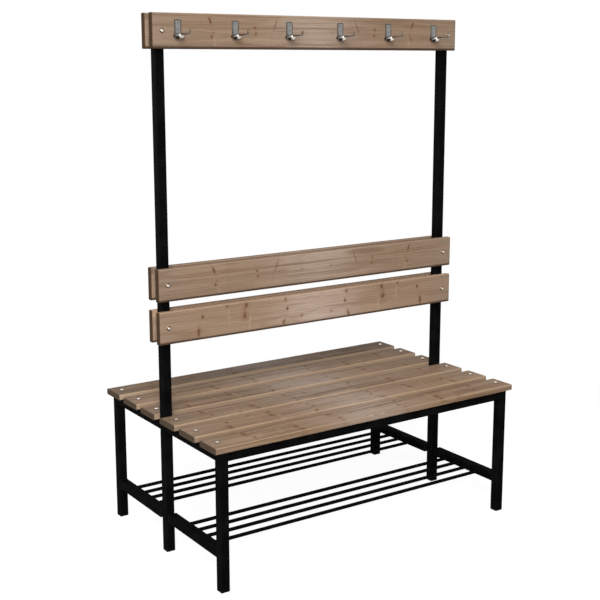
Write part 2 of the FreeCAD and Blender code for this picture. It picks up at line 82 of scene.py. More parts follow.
def paint(red: int, green: int, blue: int) -> Colour:
    """Turns a colour as a picture shows it into the linear one that shaders use.

    The curve is that of screens: a short straight foot, and a power above it.

    Args:
        red: Red from 0 to 255.
        green: Green from 0 to 255.
        blue: Blue from 0 to 255.

    Returns:
        The linear colour, opaque.
    """
    shown = np.array((red, green, blue)) / 255
    linear = np.where(shown <= 0.04045, shown / 12.92, ((shown + 0.055) / 1.055) ** 2.4)
    return (*linear.tolist(), 1.0)


def spaced(inputs: Mapping[str, Input]) -> dict[str, Input]:
    """Names inputs as shaders do, with spaces in place of underscores."""
    return {name.replace("_", " "): source for name, source in inputs.items()}


class Wiring:
    """Adds nodes to a shader tree, with each input wired from a socket or set to a plain value."""

    def __init__(self, tree: bpy.types.NodeTree) -> None:
        """Keeps the tree that the nodes go into."""
        self.tree = tree

    def node(self, kind: str, inputs: Mapping[str | int, Input] | None = None,
             **settings: object) -> bpy.types.Node:
        """Adds one node.

        Args:
            kind: Blender's name for the kind of node.
            inputs: What feeds each input, by its name or number.
            **settings: The node's own options.

        Returns:
            The new node.
        """
        node = self.tree.nodes.new(kind)
        for option, choice in settings.items():
            setattr(node, option, choice)
        for key, source in (inputs or {}).items():
            if isinstance(source, Socket):
                self.tree.links.new(source, node.inputs[key])
            else:
                node.inputs[key].default_value = source
        return node

    def out(self, kind: str, inputs: Mapping[str | int, Input], **settings: object) -> Socket:
        """Adds one node and returns its first output."""
        return self.node(kind, inputs, **settings).outputs[0]

    def math(self, operation: str, *terms: Input) -> Socket:
        """Adds an operation on plain numbers and returns its result."""
        return self.out("ShaderNodeMath", dict(enumerate(terms)), operation=operation)

    def times(self, first: Input, second: Input) -> Socket:
        """Adds the product of two numbers and returns it."""
        return self.math("MULTIPLY", first, second)

    def vector(self, operation: str, *terms: Input) -> Socket:
        """Adds an operation on vectors and returns the vector that it gives."""
        return self.out("ShaderNodeVectorMath", dict(enumerate(terms)), operation=operation)

    def length(self, vector: Socket) -> Socket:
        """Adds the length of a vector and returns it."""
        return self.node("ShaderNodeVectorMath", {0: vector}, operation="LENGTH").outputs["Value"]

    def split(self, vector: Socket) -> tuple[Socket, Socket, Socket]:
        """Adds a split of a vector and returns its three numbers."""
        return tuple(self.node("ShaderNodeSeparateXYZ", {0: vector}).outputs)

    def joined(self, x: Input, y: Input, z: Input) -> Socket:
        """Adds a vector made of three numbers and returns it."""
        return self.out("ShaderNodeCombineXYZ", {0: x, 1: y, 2: z})

    def step(self, value: Socket, start: Input, end: Input, low: Input = 0.0, high: Input = 1.0) -> Socket:
        """Adds a smooth step of a value from a start to an end, and from a low result to a high one."""
        inputs = {"Value": value, "From Min": start, "From Max": end, "To Min": low, "To Max": high}
        return self.out("ShaderNodeMapRange", inputs, interpolation_type="SMOOTHSTEP")

    def by_depth(self, place: Socket, facing: float, half: float, fade: Fade) -> Socket:
        """Adds a fade over the depth below the face that looks one way, 1 or -1, along an axis."""
        return self.step(self.math("MULTIPLY_ADD", place, -facing, half), *fade)

    def mix(self, share: Input, first: Input, second: Input) -> Socket:
        """Adds a mix of two colours by a share of the second and returns the colour."""
        return self.node("ShaderNodeMix", {0: share, 6: first, 7: second}, data_type="RGBA").outputs[2]

    def layered(self, colour: Input, layers: Iterable[Layer]) -> Socket:
        """Adds tones over a colour, one after another.

        Args:
            colour: The colour at the bottom.
            layers: The tones, from the lowest.

        Returns:
            The colour on top.
        """
        for share, tone in layers:
            colour = self.mix(share, colour, tone)
        return colour

    def noise(self, point: Socket, pitch: Input, detail: float = 2.0, output: str = "Fac") -> Socket:
        """Adds a noise with lumps of a size along each axis: Fac is one from 0 to 1, Color three."""
        inputs = {"Vector": self.vector("DIVIDE", point, pitch), "Scale": 1.0, "Detail": detail}
        return self.node("ShaderNodeTexNoise", inputs).outputs[output]

    def sway(self, point: Socket, pitch: Triple, reach: Triple) -> Socket:
        """Adds a vector that a noise sways about zero, with its reach from end to end of the sway."""
        lumps = self.noise(point, pitch, output="Color")
        return self.vector("MULTIPLY", self.vector("SUBTRACT", lumps, (0.5, 0.5, 0.5)), reach)

    def effect(self, effect: type["Effect"], **inputs: Input) -> dict[str, Socket]:
        """Places a shared effect, with underscores for spaces, and returns its outputs by name."""
        node = self.node("ShaderNodeGroup", spaced(inputs), node_tree=effect.tree())
        return {output.name: output for output in node.outputs}


class Effect:
    """An effect that several materials share: one shader node group, built when it is first placed."""

    name = ""
    inputs: dict[str, float | Triple] = {}
    outputs: tuple[str, ...] = ()

    @classmethod
    def tree(cls) -> bpy.types.NodeTree:
        """Builds the group once.

        Returns:
            The group's tree.
        """
        known = bpy.data.node_groups.get(cls.name)
        if known:
            return known
        tree = bpy.data.node_groups.new(cls.name, "ShaderNodeTree")
        for name, default in cls.inputs.items():
            kind = "NodeSocketVector" if isinstance(default, tuple) else "NodeSocketFloat"
            tree.interface.new_socket(name=name, in_out="INPUT", socket_type=kind).default_value = default
        for name in cls.outputs:
            tree.interface.new_socket(name=name, in_out="OUTPUT", socket_type="NodeSocketFloat")
        wiring = Wiring(tree)
        entry = wiring.node("NodeGroupInput")
        results = cls.draw(wiring, {socket.name: socket for socket in entry.outputs if socket.name})
        wiring.node("NodeGroupOutput", results)
        return tree

    @classmethod
    def draw(cls, wiring: Wiring, given: dict[str, Socket]) -> dict[str, Socket]:
        """Draws the effect's nodes from the group's inputs and returns what feeds its outputs."""
        raise NotImplementedError


class SoftwoodGrain(Effect):
    """Year rings about a heart that wanders along the board, with bands that follow them and fine fibres."""

    name = "softwood grain"
    inputs = {"Point": (0.0, 0.0, 0.0), "Heart": (0.0, 0.0, 0.0), "Push": 0.0, "Ring Width": 4.0}
    outputs = ("Late Wood", "Band", "Streak", "Fibre")
    wander_pitch = (700.0, 120.0, 120.0)
    wander = (0.0, 8.0, 8.0)
    late_rise = (0.3, 0.85)
    late_fall = (1.0, 0.9)
    band_pitch = (520.0, 10.0, 7.0)
    streak_pitch = (240.0, 2.4, 7.0)
    fibre_pitch = (38.0, 0.9, 0.9)

    @classmethod
    def draw(cls, wiring: Wiring, given: dict[str, Socket]) -> dict[str, Socket]:
        """Draws rings as the fraction of the distance from the heart over the ring width.

        Args:
            wiring: The group's wiring.
            given: The group's inputs by name.

        Returns:
            The dark late wood of each ring, the broad bands, the narrow streaks and the fibres, from 0 to 1.
        """
        point, heart = given["Point"], given["Heart"]
        parted = wiring.vector("ADD", point, wiring.joined(0.0, given["Push"], 0.0))
        parted = wiring.vector("ADD", parted, wiring.sway(point, cls.wander_pitch, cls.wander))
        from_heart = wiring.vector("SUBTRACT", parted, heart)
        radius = wiring.length(wiring.vector("MULTIPLY", from_heart, (0.0, 1.0, 1.0)))
        ring = wiring.math("FRACT", wiring.math("DIVIDE", radius, given["Ring Width"]))
        late = wiring.times(wiring.step(ring, *cls.late_rise), wiring.step(ring, *cls.late_fall))
        lane = wiring.joined(wiring.split(point)[0], radius, wiring.split(heart)[1])
        return {"Late Wood": late,
                "Band": wiring.noise(lane, cls.band_pitch, detail=3.0),
                "Streak": wiring.noise(lane, cls.streak_pitch),
                "Fibre": wiring.noise(point, cls.fibre_pitch, detail=3.0)}


class KnotMark(Effect):
    """One knot or streak: an oval core with a halo, round which the grain parts. Marks stand in a chain."""

    name = "knot mark"
    inputs = {"Point": (0.0, 0.0, 0.0), "Centre": (0.0, 0.0, 0.0), "Half Size": (4.0, 4.0, 1.0), "Lean": 0.0,
              "Depth": 1.0, "Parting": 0.75, "Push": 0.0, "Core": 0.0, "Halo": 0.0}
    outputs = ("Push", "Core", "Halo")
    core_fade = (1.25, 0.7)
    halo_fade = (3.4, 0.6)
    parting_shares = (0.3, 0.5, 0.0)

    @classmethod
    def draw(cls, wiring: Wiring, given: dict[str, Socket]) -> dict[str, Socket]:
        """Draws the mark from the distance to its middle, counted in its own half sizes.

        The grain is pushed by the distance across the board, which fades as a bell curve of a larger oval.

        Args:
            wiring: The group's wiring.
            given: The group's inputs by name.

        Returns:
            The chain's push, core and halo with this mark added.
        """
        away = wiring.vector("SUBTRACT", given["Point"], given["Centre"])
        away = wiring.vector("MULTIPLY", away, (1.0, 1.0, 0.0))
        turned = wiring.out("ShaderNodeVectorRotate", {"Vector": away, "Angle": given["Lean"]},
                            rotation_type="Z_AXIS")
        reach = wiring.length(wiring.vector("DIVIDE", turned, given["Half Size"]))
        core = wiring.times(wiring.step(reach, *cls.core_fade), given["Depth"])
        halo = wiring.times(wiring.step(reach, *cls.halo_fade), given["Depth"])
        shrunk = wiring.vector("MULTIPLY", turned, cls.parting_shares)
        near = wiring.length(wiring.vector("DIVIDE", shrunk, given["Half Size"]))
        fading = wiring.math("EXPONENT", wiring.times(wiring.times(near, near), -1.0))
        aside = wiring.times(wiring.split(away)[1], wiring.times(fading, given["Parting"]))
        return {"Push": wiring.math("SUBTRACT", given["Push"], aside),
                "Core": wiring.math("MAXIMUM", given["Core"], core),
                "Halo": wiring.math("MAXIMUM", given["Halo"], halo)}


class EasedEdge(Effect):
    """Where a box-shaped piece turns from one face to the next, and where its two ends are."""

    name = "eased edge"
    inputs = {"Point": (0.0, 0.0, 0.0), "Half Size": (1.0, 1.0, 1.0), "Width": 4.0}
    outputs = ("Edge", "End")
    end_fade = (3.6, 1.0)

    @classmethod
    def draw(cls, wiring: Wiring, given: dict[str, Socket]) -> dict[str, Socket]:
        """Draws the edge from the middle one of the distances to the three pairs of faces.

        Args:
            wiring: The group's wiring.
            given: The group's inputs by name.

        Returns:
            The edges and the end faces, each from 0 to 1.
        """
        from_middle = wiring.vector("ABSOLUTE", given["Point"])
        x, y, z = wiring.split(wiring.vector("SUBTRACT", given["Half Size"], from_middle))
        nearer, farther = wiring.math("MINIMUM", x, y), wiring.math("MAXIMUM", x, y)
        middle = wiring.math("MAXIMUM", nearer, wiring.math("MINIMUM", farther, z))
        return {"Edge": wiring.step(middle, given["Width"], 0.0), "End": wiring.step(x, *cls.end_fade)}


class OrangePeel(Effect):
    """The fine lumps of a sprayed or moulded skin, with broad patches of different gloss."""

    name = "orange peel"
    inputs = {"Point": (0.0, 0.0, 0.0), "Lump": 1.2}
    outputs = ("Height", "Patch")
    patch_pitch = (70.0, 70.0, 70.0)

    @classmethod
    def draw(cls, wiring: Wiring, given: dict[str, Socket]) -> dict[str, Socket]:
        """Draws two noises, one at the size of a lump and one at the size of a hand.

        Args:
            wiring: The group's wiring.
            given: The group's inputs by name.

        Returns:
            The skin's height and its patches, each from 0 to 1.
        """
        lump = wiring.joined(given["Lump"], given["Lump"], given["Lump"])
        return {"Height": wiring.noise(given["Point"], lump, detail=1.0),
                "Patch": wiring.noise(given["Point"], cls.patch_pitch, detail=3.0)}


class RubMarks(Effect):
    """Fine rubbed marks of a satin metal, with cloudy tarnish."""

    name = "rub marks"
    inputs = {"Point": (0.0, 0.0, 0.0), "Pitch": (0.3, 0.3, 9.0)}
    outputs = ("Marks", "Cloud")
    cloud_pitch = (14.0, 14.0, 14.0)

    @classmethod
    def draw(cls, wiring: Wiring, given: dict[str, Socket]) -> dict[str, Socket]:
        """Draws a noise with the marks' pitch, drawn out along the rubbing, and a broad one."""
        return {"Marks": wiring.noise(given["Point"], given["Pitch"]),
                "Cloud": wiring.noise(given["Point"], cls.cloud_pitch, detail=3.0)}


@dataclass(frozen=True)
class Box:
    """A node's box: its middle and its half sizes, in metres."""

    middle: np.ndarray
    half: np.ndarray

    @classmethod
    def of(cls, node: str) -> "Box":
        """Measures a CAD node by its name."""
        low, high = (np.array(corner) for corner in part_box(node))
        return cls((low + high) / 2, (high - low) / 2)

    @property
    def low(self) -> np.ndarray:
        """The lowest corner."""
        return self.middle - self.half

    @property
    def high(self) -> np.ndarray:
        """The highest corner."""
        return self.middle + self.half


class Lay(Enum):
    """How a board lies: which of the bench's axes run along it, across it and through it."""

    FLAT = (0, 1, 2)
    UPRIGHT = (0, 2, 1)


def new_material(name: str) -> tuple[bpy.types.Material, Wiring]:
    """Makes an empty node material.

    Args:
        name: The material's name.

    Returns:
        The material and the wiring of its tree.
    """
    material = bpy.data.materials.new(name)
    material.use_nodes = True
    material.node_tree.nodes.clear()
    return material, Wiring(material.node_tree)


def own_point(wiring: Wiring, middle: np.ndarray, lay: Lay = Lay.FLAT, flip: float = 1.0) -> Socket:
    """Adds the place on a piece in millimetres from its middle.

    Args:
        wiring: The material's wiring.
        middle: The piece's middle, in metres.
        lay: How the piece lies.
        flip: -1 to lay the pattern out mirrored across the piece.

    Returns:
        The place along, across and through the piece.
    """
    place = wiring.node("ShaderNodeTexCoord").outputs["Object"]
    shifted = wiring.out("ShaderNodeMapping", {"Vector": place, "Location": tuple(-middle / MM),
                                               "Scale": (1 / MM, 1 / MM, 1 / MM)})
    parts = wiring.split(shifted)
    along, across, through = (parts[axis] for axis in lay.value)
    return wiring.joined(along, wiring.times(across, flip), through)


def finish_material(wiring: Wiring, colour: Input, roughness: Input, height: Socket, relief: float,
                    **plain: float) -> None:
    """Adds the shader itself and the material's output.

    Args:
        wiring: The material's wiring.
        colour: The base colour.
        roughness: The roughness.
        height: The relief, from 0 to 1.
        relief: The depth of the relief, in metres.
        **plain: The shader's other values, with underscores for the spaces in their names.
    """
    bump = wiring.out("ShaderNodeBump", {"Height": height, "Distance": relief, "Strength": 1.0})
    inputs = {"Base Color": colour, "Roughness": roughness, "Normal": bump, **spaced(plain)}
    shader = wiring.out("ShaderNodeBsdfPrincipled", inputs)
    wiring.node("ShaderNodeOutputMaterial", {"Surface": shader})


@dataclass(frozen=True)
class Knot:
    """A knot or streak in the layout of a board: its place from the middle and half sizes, in millimetres.

    Args:
        lean: How far it leans from straight across the board, in degrees.
        depth: How dark it is, from 0 to 1.
        parting: How strongly the grain goes round it, from 0 to 1.
    """

    along: float
    across: float
    half_width: float
    half_length: float
    lean: float = 0.0
    depth: float = 1.0
    parting: float = 0.75


class Cut(Enum):
    """The two cuts of board, laid out for the right half and repeated on the left, as in matched veneer."""

    STREAKED = (
        Knot(401, 31, 3.2, 11, 22, 0.8),
        Knot(390, -3, 2.2, 2.4, 0, 0.5),
        Knot(395, -16, 3.2, 4.2, 0, 0.75),
        Knot(238, 13, 3.4, 3.8, 0, 0.65),
        Knot(236, -6, 3.4, 3.6, 0, 0.65),
        Knot(163, 20, 1.6, 17, -22, 0.65, 0.12),
        Knot(141, 3, 0.9, 30, 90, 0.45),
        Knot(177, -24, 0.7, 24, 0, 0.2, 0.0),
        Knot(60, 1, 2.6, 2.4, 0, 0.4),
        Knot(347, 0, 0.7, 48, 0, 0.2, 0.0),
        Knot(447, 27, 1.2, 100, 90, 0.4),
        Knot(447, 20, 1.0, 100, 90, 0.3),
    )
    KNOTTY = (
        Knot(445, 22, 3.4, 4.4),
        Knot(460, -28, 4.2, 13, -6, 0.75),
        Knot(281, 41, 6.0, 7.0, 0, 0.7),
        Knot(287, 7, 7.4, 10.0, 0, 0.62),
        Knot(127, 42, 4.4, 5.0, 0, 0.6),
        Knot(120, 10, 3.0, 4.0),
        Knot(135, -37, 3.8, 10, -24, 0.65),
        Knot(61, -21, 3.0, 3.2, 0, 0.55),
        Knot(353, 45, 3.4, 4.0, 0, 0.7),
        Knot(287, 25, 4.6, 22, 2, 0.2, 0.2),
    )


PALE_SWIRLS = {
    Cut.STREAKED: (
        Knot(386, -32, 2.2, 9, 18, 0.5),
        Knot(205, -28, 5, 40, 84, 0.4),
    ),
    Cut.KNOTTY: (
        Knot(268, -20, 2.0, 15, -6, 0.7, 0.6),
        Knot(347, 8, 2.0, 15, 8, 0.6, 0.6),
        Knot(22, 22, 2.4, 11, 4, 0.5),
    ),
}
LAYOUT_HALF_WIDTH = 52.5
# For each slat from the front: painted shade as the brightness of its stain, deepest on the rear slat, and
# how far painted light covers its sides in the gaps
SLAT_SHADING = ((1.0, 0.24), (1.0, 0.24), (0.85, 0.4), (0.82, 0.54), (0.95, 0.7), (0.605, 1.0))


@dataclass(frozen=True)
class StainedSoftwood:
    """Planed softwood with a grey-brown stain under a thin satin lacquer.

    The stain is weathered towards the ends of each board. A painted reflection of a lamp pales each board
    towards its middle, and a painted highlight runs along the eased edges. Painted shade lies along the foot
    of upright boards, on the seat's outermost sides and along the back of some slats, and darkens the end
    grain further.
    Painted light lies on the sides that face another board, and painted shading, lighter on the lower
    backrest boards and darker on the others, on the top of an upright board. Fades go over millimetres or
    over noises.
    """

    plain: Colour = paint(153, 129, 108)
    dark_band: Colour = paint(126, 102, 82)
    pale_band: Colour = paint(174, 149, 127)
    # Painted reflection of a lamp, paling each board towards its middle
    painted_glare: Colour = paint(184, 163, 147)
    weathered: Colour = paint(140, 130, 119)
    halo: Colour = paint(138, 102, 72)
    core: Colour = paint(86, 56, 38)
    # Painted highlight along the eased edges, where they catch the light
    edge: Colour = paint(200, 168, 140)
    # Painted shading on the top of an upright board, and on its inner face just below
    painted_crest_shading: Colour = paint(112, 91, 73)
    # Painted shade along the foot of upright boards, on the seat's outermost sides and along the back of some
    # slats
    painted_shade: Colour = paint(74, 55, 44)
    # Painted light on the sides that face another board
    inner: Colour = paint(186, 161, 136)
    # End grain, darker than the faces, and darkened further as painted shade
    end: Colour = paint(67, 50, 33)
    late_share: float = 0.3
    swirl_share: float = 0.6
    halo_share: float = 0.62
    core_share: float = 0.9
    # How far the painted highlight covers the eased edges
    edge_highlight_share: float = 0.65
    # How far the painted light covers the sides that face another board
    inner_light_share: float = 0.35
    # How far the painted shade covers the seat's outermost sides
    outermost_share: float = 0.17
    # How far the painted shading on the top of an upright board covers it
    painted_crest_shading_share: float = 0.5
    # How far the end colour, darker end grain with painted shade, covers the ends
    end_share: float = 0.95
    banding: float = 0.5
    dark_bands: Fade = (0.52, 0.30)
    pale_bands: Fade = (0.50, 0.74)
    pale_streaks: Fade = (0.56, 0.7, 0.0, 0.45)
    dark_streaks: Fade = (0.47, 0.3, 0.0, 0.6)
    dark_fibres: Fade = (0.62, 0.36, 0.0, 0.3)
    # How far from the middle of a board the painted reflection of a lamp fades out, and its clouds
    painted_glare_reach: Fade = (280.0, 10.0)
    painted_glare_clouds: Fade = (0.34, 0.66, 0.8, 1.0)
    weathered_depth: Fade = (140.0, 20.0, 0.0, 0.3)
    # Where the painted shade along the foot of an upright board and along the back of a slat begins and is
    # full
    painted_shade_foot: Fade = (9.5, 6.0, 0.0, 0.9)
    painted_shade_back: Fade = (15.0, 7.0, 0.0, 0.3)
    face_depth: Fade = (1.2, 0.4)
    # How far down the inner face the painted shading of the top reaches
    painted_crest_shading_depth: Fade = (26.0, 18.0)
    side_depth: Fade = (1.4, 0.4)
    gloss_clouds: Fade = (0.3, 0.7, 0.6, 0.5)
    late_gloss: float = -0.08
    cloud_pitch: Triple = (85.0, 55.0, 60.0)
    drift_pitch: Triple = (26.0, 9.0, 9.0)
    drift: Triple = (7.0, 5.0, 0.0)
    knot_growth: float = 1.0
    knot_depth: float = 1.0
    ring_width: float = 4.2
    edge_width: float = 3.6
    late_height: float = 0.5
    fibre_height: float = 0.5
    sheen: float = 0.06
    relief: float = 0.25 * MM

    def with_painted_shading(self, strength: float, inner_light_share: float) -> "StainedSoftwood":
        """The stain of one slat, with painted shade and painted light of its own.

        Args:
            strength: The colours' brightness over the usual one, which paints shade on the slat.
            inner_light_share: How far the painted light covers the sides towards other boards, from 0 to 1.

        Returns:
            The board's stain.
        """
        names = ("plain", "dark_band", "pale_band", "painted_glare", "weathered")
        tones = {name: (*np.multiply(getattr(self, name)[:3], strength).tolist(), 1.0) for name in names}
        return replace(self, inner_light_share=inner_light_share, **tones)

    def knots(self, wiring: Wiring, point: Socket, knots: Iterable[Knot], ratio: float) -> dict[str, Socket]:
        """Adds a chain of knot marks.

        Args:
            wiring: The material's wiring.
            point: The place on the layout.
            knots: The marks.
            ratio: The board's width over the layout's.

        Returns:
            The chain's push, core and halo.
        """
        chain: dict[str, Input] = {"Push": 0.0, "Core": 0.0, "Halo": 0.0}
        for knot in knots:
            half_size = (knot.half_width * self.knot_growth, knot.half_length * self.knot_growth, 1.0)
            chain = wiring.effect(KnotMark, Point=point, Centre=(knot.along, knot.across * ratio, 0.0),
                                  Half_Size=half_size, Lean=math.radians(knot.lean),
                                  Depth=knot.depth * self.knot_depth, Parting=knot.parting, **chain)
        return chain

    def face_layers(self, wiring: Wiring, board: "TimberBoard", point: Socket) -> list[Layer]:
        """Adds the tones of single faces.

        These are painted light and shade. An upright board has painted light on its inner face, painted
        shading on its top and painted shade along its foot. A flat one has painted shade on its outermost
        long sides, painted light on the others, and painted shade along its back where its layout is
        mirrored.

        Args:
            wiring: The material's wiring.
            board: The board.
            point: The place on the board.

        Returns:
            The tones, from the lowest.
        """
        _, across, through = wiring.split(point)
        _, half_width, half_depth = board.half / MM
        if board.lay is Lay.UPRIGHT:
            inward = -float(np.sign(board.box.middle[1]))
            inner = wiring.by_depth(through, inward, half_depth, self.face_depth)
            # Painted shading on the top, and on the inner face just below it
            behind = wiring.times(inner, wiring.by_depth(across, board.flip, half_width, self.painted_crest_shading_depth))
            top = wiring.by_depth(across, board.flip, half_width, self.face_depth)
            painted_crest_shading = wiring.math("MAXIMUM", top, behind)
            # Painted light on the inner face, painted shading on the top, painted shade along the foot
            return [(wiring.times(inner, self.inner_light_share), self.inner),
                    (wiring.times(painted_crest_shading, self.painted_crest_shading_share), self.painted_crest_shading),
                    (wiring.by_depth(across, -board.flip, half_width, self.painted_shade_foot), self.painted_shade)]
        layers = []
        # Painted shade on the seat's outermost sides, painted light on the sides in the gaps
        for side in (-1.0, 1.0):
            outermost = abs(board.box.middle[1] + side * board.half[1]) > CAD_BOX[1][1] - MM
            tone, share = (self.painted_shade, self.outermost_share) if outermost else (self.inner, self.inner_light_share)
            face = wiring.by_depth(across, side * board.flip, half_width, self.side_depth)
            layers.append((wiring.times(face, share), tone))
        # Painted shade along the back of a mirrored slat
        if board.flip < 0:
            layers.append((wiring.by_depth(across, -1.0, half_width, self.painted_shade_back), self.painted_shade))
        return layers

    def material(self, board: "TimberBoard") -> bpy.types.Material:
        """Makes the finish of one board.

        Args:
            board: The board.

        Returns:
            The material.
        """
        material, wiring = new_material(board.node + "_stain")
        half = board.half / MM
        point = own_point(wiring, board.box.middle, board.lay, board.flip)
        along, across, _ = wiring.split(point)
        from_middle = wiring.math("ABSOLUTE", along)
        drift = wiring.sway(point, self.drift_pitch, self.drift)
        matched = wiring.vector("ADD", wiring.joined(from_middle, across, 0.0), drift)
        marks, swirls = (self.knots(wiring, matched, knots, half[1] / LAYOUT_HALF_WIDTH)
                         for knots in (board.cut.value, PALE_SWIRLS[board.cut]))
        push = wiring.math("ADD", marks["Push"], swirls["Push"])
        grain = wiring.effect(SoftwoodGrain, Point=point, Heart=(0.0, *board.heart), Push=push,
                              Ring_Width=self.ring_width)
        edges = wiring.effect(EasedEdge, Point=point, Half_Size=tuple(half), Width=self.edge_width)
        cloud = wiring.noise(point, self.cloud_pitch, detail=3.0)

        # Painted reflection of a lamp: paler towards the middle of each board, in clouds
        painted_glare_mask = wiring.times(wiring.step(from_middle, *self.painted_glare_reach),
                              wiring.step(cloud, *self.painted_glare_clouds))
        dark = wiring.math("MULTIPLY_ADD", grain["Late Wood"], self.late_share,
                           wiring.step(grain["Band"], *self.dark_bands, 0.0, self.banding))
        pale = wiring.math("MAXIMUM", wiring.step(grain["Band"], *self.pale_bands, 0.0, self.banding),
                           wiring.step(grain["Streak"], *self.pale_streaks))
        layers = [(painted_glare_mask, self.painted_glare),
                  (wiring.by_depth(from_middle, 1.0, half[0], self.weathered_depth), self.weathered),
                  (dark, self.dark_band), (pale, self.pale_band),
                  (wiring.step(grain["Streak"], *self.dark_streaks), self.dark_band),
                  (wiring.step(grain["Fibre"], *self.dark_fibres), self.dark_band),
                  (wiring.times(swirls["Halo"], self.swirl_share), self.pale_band),
                  (wiring.times(marks["Halo"], self.halo_share), self.halo),
                  (wiring.times(marks["Core"], self.core_share), self.core),
                  # Painted highlight along the eased edges
                  (wiring.times(edges["Edge"], self.edge_highlight_share), self.edge)]
        # Painted light and shade on single faces
        layers += self.face_layers(wiring, board, point)
        # End grain, darker than the faces, and darkened further as painted shade
        layers.append((wiring.times(edges["End"], self.end_share), self.end))

        gloss = wiring.math("MULTIPLY_ADD", grain["Late Wood"], self.late_gloss,
                            wiring.step(cloud, *self.gloss_clouds))
        gloss = wiring.math("MAXIMUM", gloss, edges["End"])
        height = wiring.math("MULTIPLY_ADD", grain["Late Wood"], self.late_height,
                             wiring.times(grain["Fibre"], self.fibre_height))
        finish_material(wiring, wiring.layered(self.plain, layers), gloss, height, self.relief,
                        Specular_IOR_Level=self.sheen)
        return material


@dataclass(frozen=True)
class PowderCoat:
    """Black satin powder coat: fine orange peel, and edges rubbed a little paler."""

    coat: Colour = (0.0034, 0.0034, 0.0036, 1.0)
    thin: Colour = (0.0056, 0.0056, 0.0058, 1.0)
    rubbed: Colour = (0.0080, 0.0080, 0.0080, 1.0)
    lump: float = 1.1
    edge_width: float = 3.0
    thin_patches: Fade = (0.4, 0.65)
    rubbed_patches: Fade = (0.35, 0.6, 0.1, 0.8)
    gloss_patches: Fade = (0.3, 0.7, 0.42, 0.52)
    sheen: float = 0.0012
    relief: float = 0.06 * MM

    def material(self, name: str, box: Box) -> bpy.types.Material:
        """Makes the finish of one coated piece.

        Args:
            name: The piece's name.
            box: The piece's box.

        Returns:
            The material.
        """
        material, wiring = new_material(name + "_coat")
        point = own_point(wiring, box.middle)
        skin = wiring.effect(OrangePeel, Point=point, Lump=self.lump)
        edges = wiring.effect(EasedEdge, Point=point, Half_Size=tuple(box.half / MM), Width=self.edge_width)
        wear = wiring.times(edges["Edge"], wiring.step(skin["Patch"], *self.rubbed_patches))
        thin = wiring.step(skin["Patch"], *self.thin_patches)
        colour = wiring.layered(self.coat, ((thin, self.thin), (wear, self.rubbed)))
        gloss = wiring.step(skin["Patch"], *self.gloss_patches)
        finish_material(wiring, colour, gloss, skin["Height"], self.relief, Specular_IOR_Level=self.sheen)
        return material


@dataclass(frozen=True)
class MouldedPlastic:
    """Black moulded plastic with a fine grain."""

    skin: Colour = (0.004, 0.004, 0.004, 1.0)
    bloom: Colour = (0.009, 0.009, 0.0095, 1.0)
    lump: float = 0.5
    bloom_patches: Fade = (0.35, 0.7)
    gloss_patches: Fade = (0.3, 0.7, 0.55, 0.68)
    sheen: float = 0.02
    relief: float = 0.08 * MM

    def material(self, name: str, box: Box) -> bpy.types.Material:
        """Makes the finish of the plugs.

        Args:
            name: The pieces' name.
            box: The pieces' box.

        Returns:
            The material.
        """
        material, wiring = new_material(name + "_plastic")
        skin = wiring.effect(OrangePeel, Point=own_point(wiring, box.middle), Lump=self.lump)
        colour = wiring.mix(wiring.step(skin["Patch"], *self.bloom_patches), self.skin, self.bloom)
        gloss = wiring.step(skin["Patch"], *self.gloss_patches)
        finish_material(wiring, colour, gloss, skin["Height"], self.relief, Specular_IOR_Level=self.sheen)
        return material


@dataclass(frozen=True, kw_only=True)
class RubbedMetal:
    """Bare or plated metal whose gloss follows fine rub marks.

    Args:
        gloss: The roughness between the marks and on them.
        rubbing: The marks' size along each axis, in millimetres.
    """

    gloss: tuple[float, float]
    rubbing: Triple = (0.25, 0.25, 0.25)
    mark_fade: tuple[float, float] = (0.3, 0.7)
    relief: float = 0.02 * MM

    def rubbed(self, wiring: Wiring, point: Socket) -> dict[str, Socket]:
        """Adds the rub marks and returns them with their clouds of tarnish."""
        return wiring.effect(RubMarks, Point=point, Pitch=self.rubbing)

    def polish(self, wiring: Wiring, rub: dict[str, Socket], colour: Socket) -> None:
        """Adds the metal's shader, with the rub marks as its gloss and its relief."""
        gloss = wiring.step(rub["Marks"], *self.mark_fade, *self.gloss)
        finish_material(wiring, colour, gloss, rub["Marks"], self.relief, Metallic=1.0)


@dataclass(frozen=True, kw_only=True)
class SatinMetal(RubbedMetal):
    """Plated metal rubbed to a satin shine, with cloudy tarnish."""

    bright: Colour
    tarnish: Colour
    tarnish_clouds: Fade = (0.4, 0.72)

    def material(self, name: str, box: Box) -> bpy.types.Material:
        """Makes the finish of one metal piece.

        Args:
            name: The piece's name.
            box: The piece's box.

        Returns:
            The material.
        """
        material, wiring = new_material(name + "_metal")
        rub = self.rubbed(wiring, own_point(wiring, box.middle))
        tarnish = wiring.step(rub["Cloud"], *self.tarnish_clouds)
        self.polish(wiring, rub, wiring.mix(tarnish, self.bright, self.tarnish))
        return material


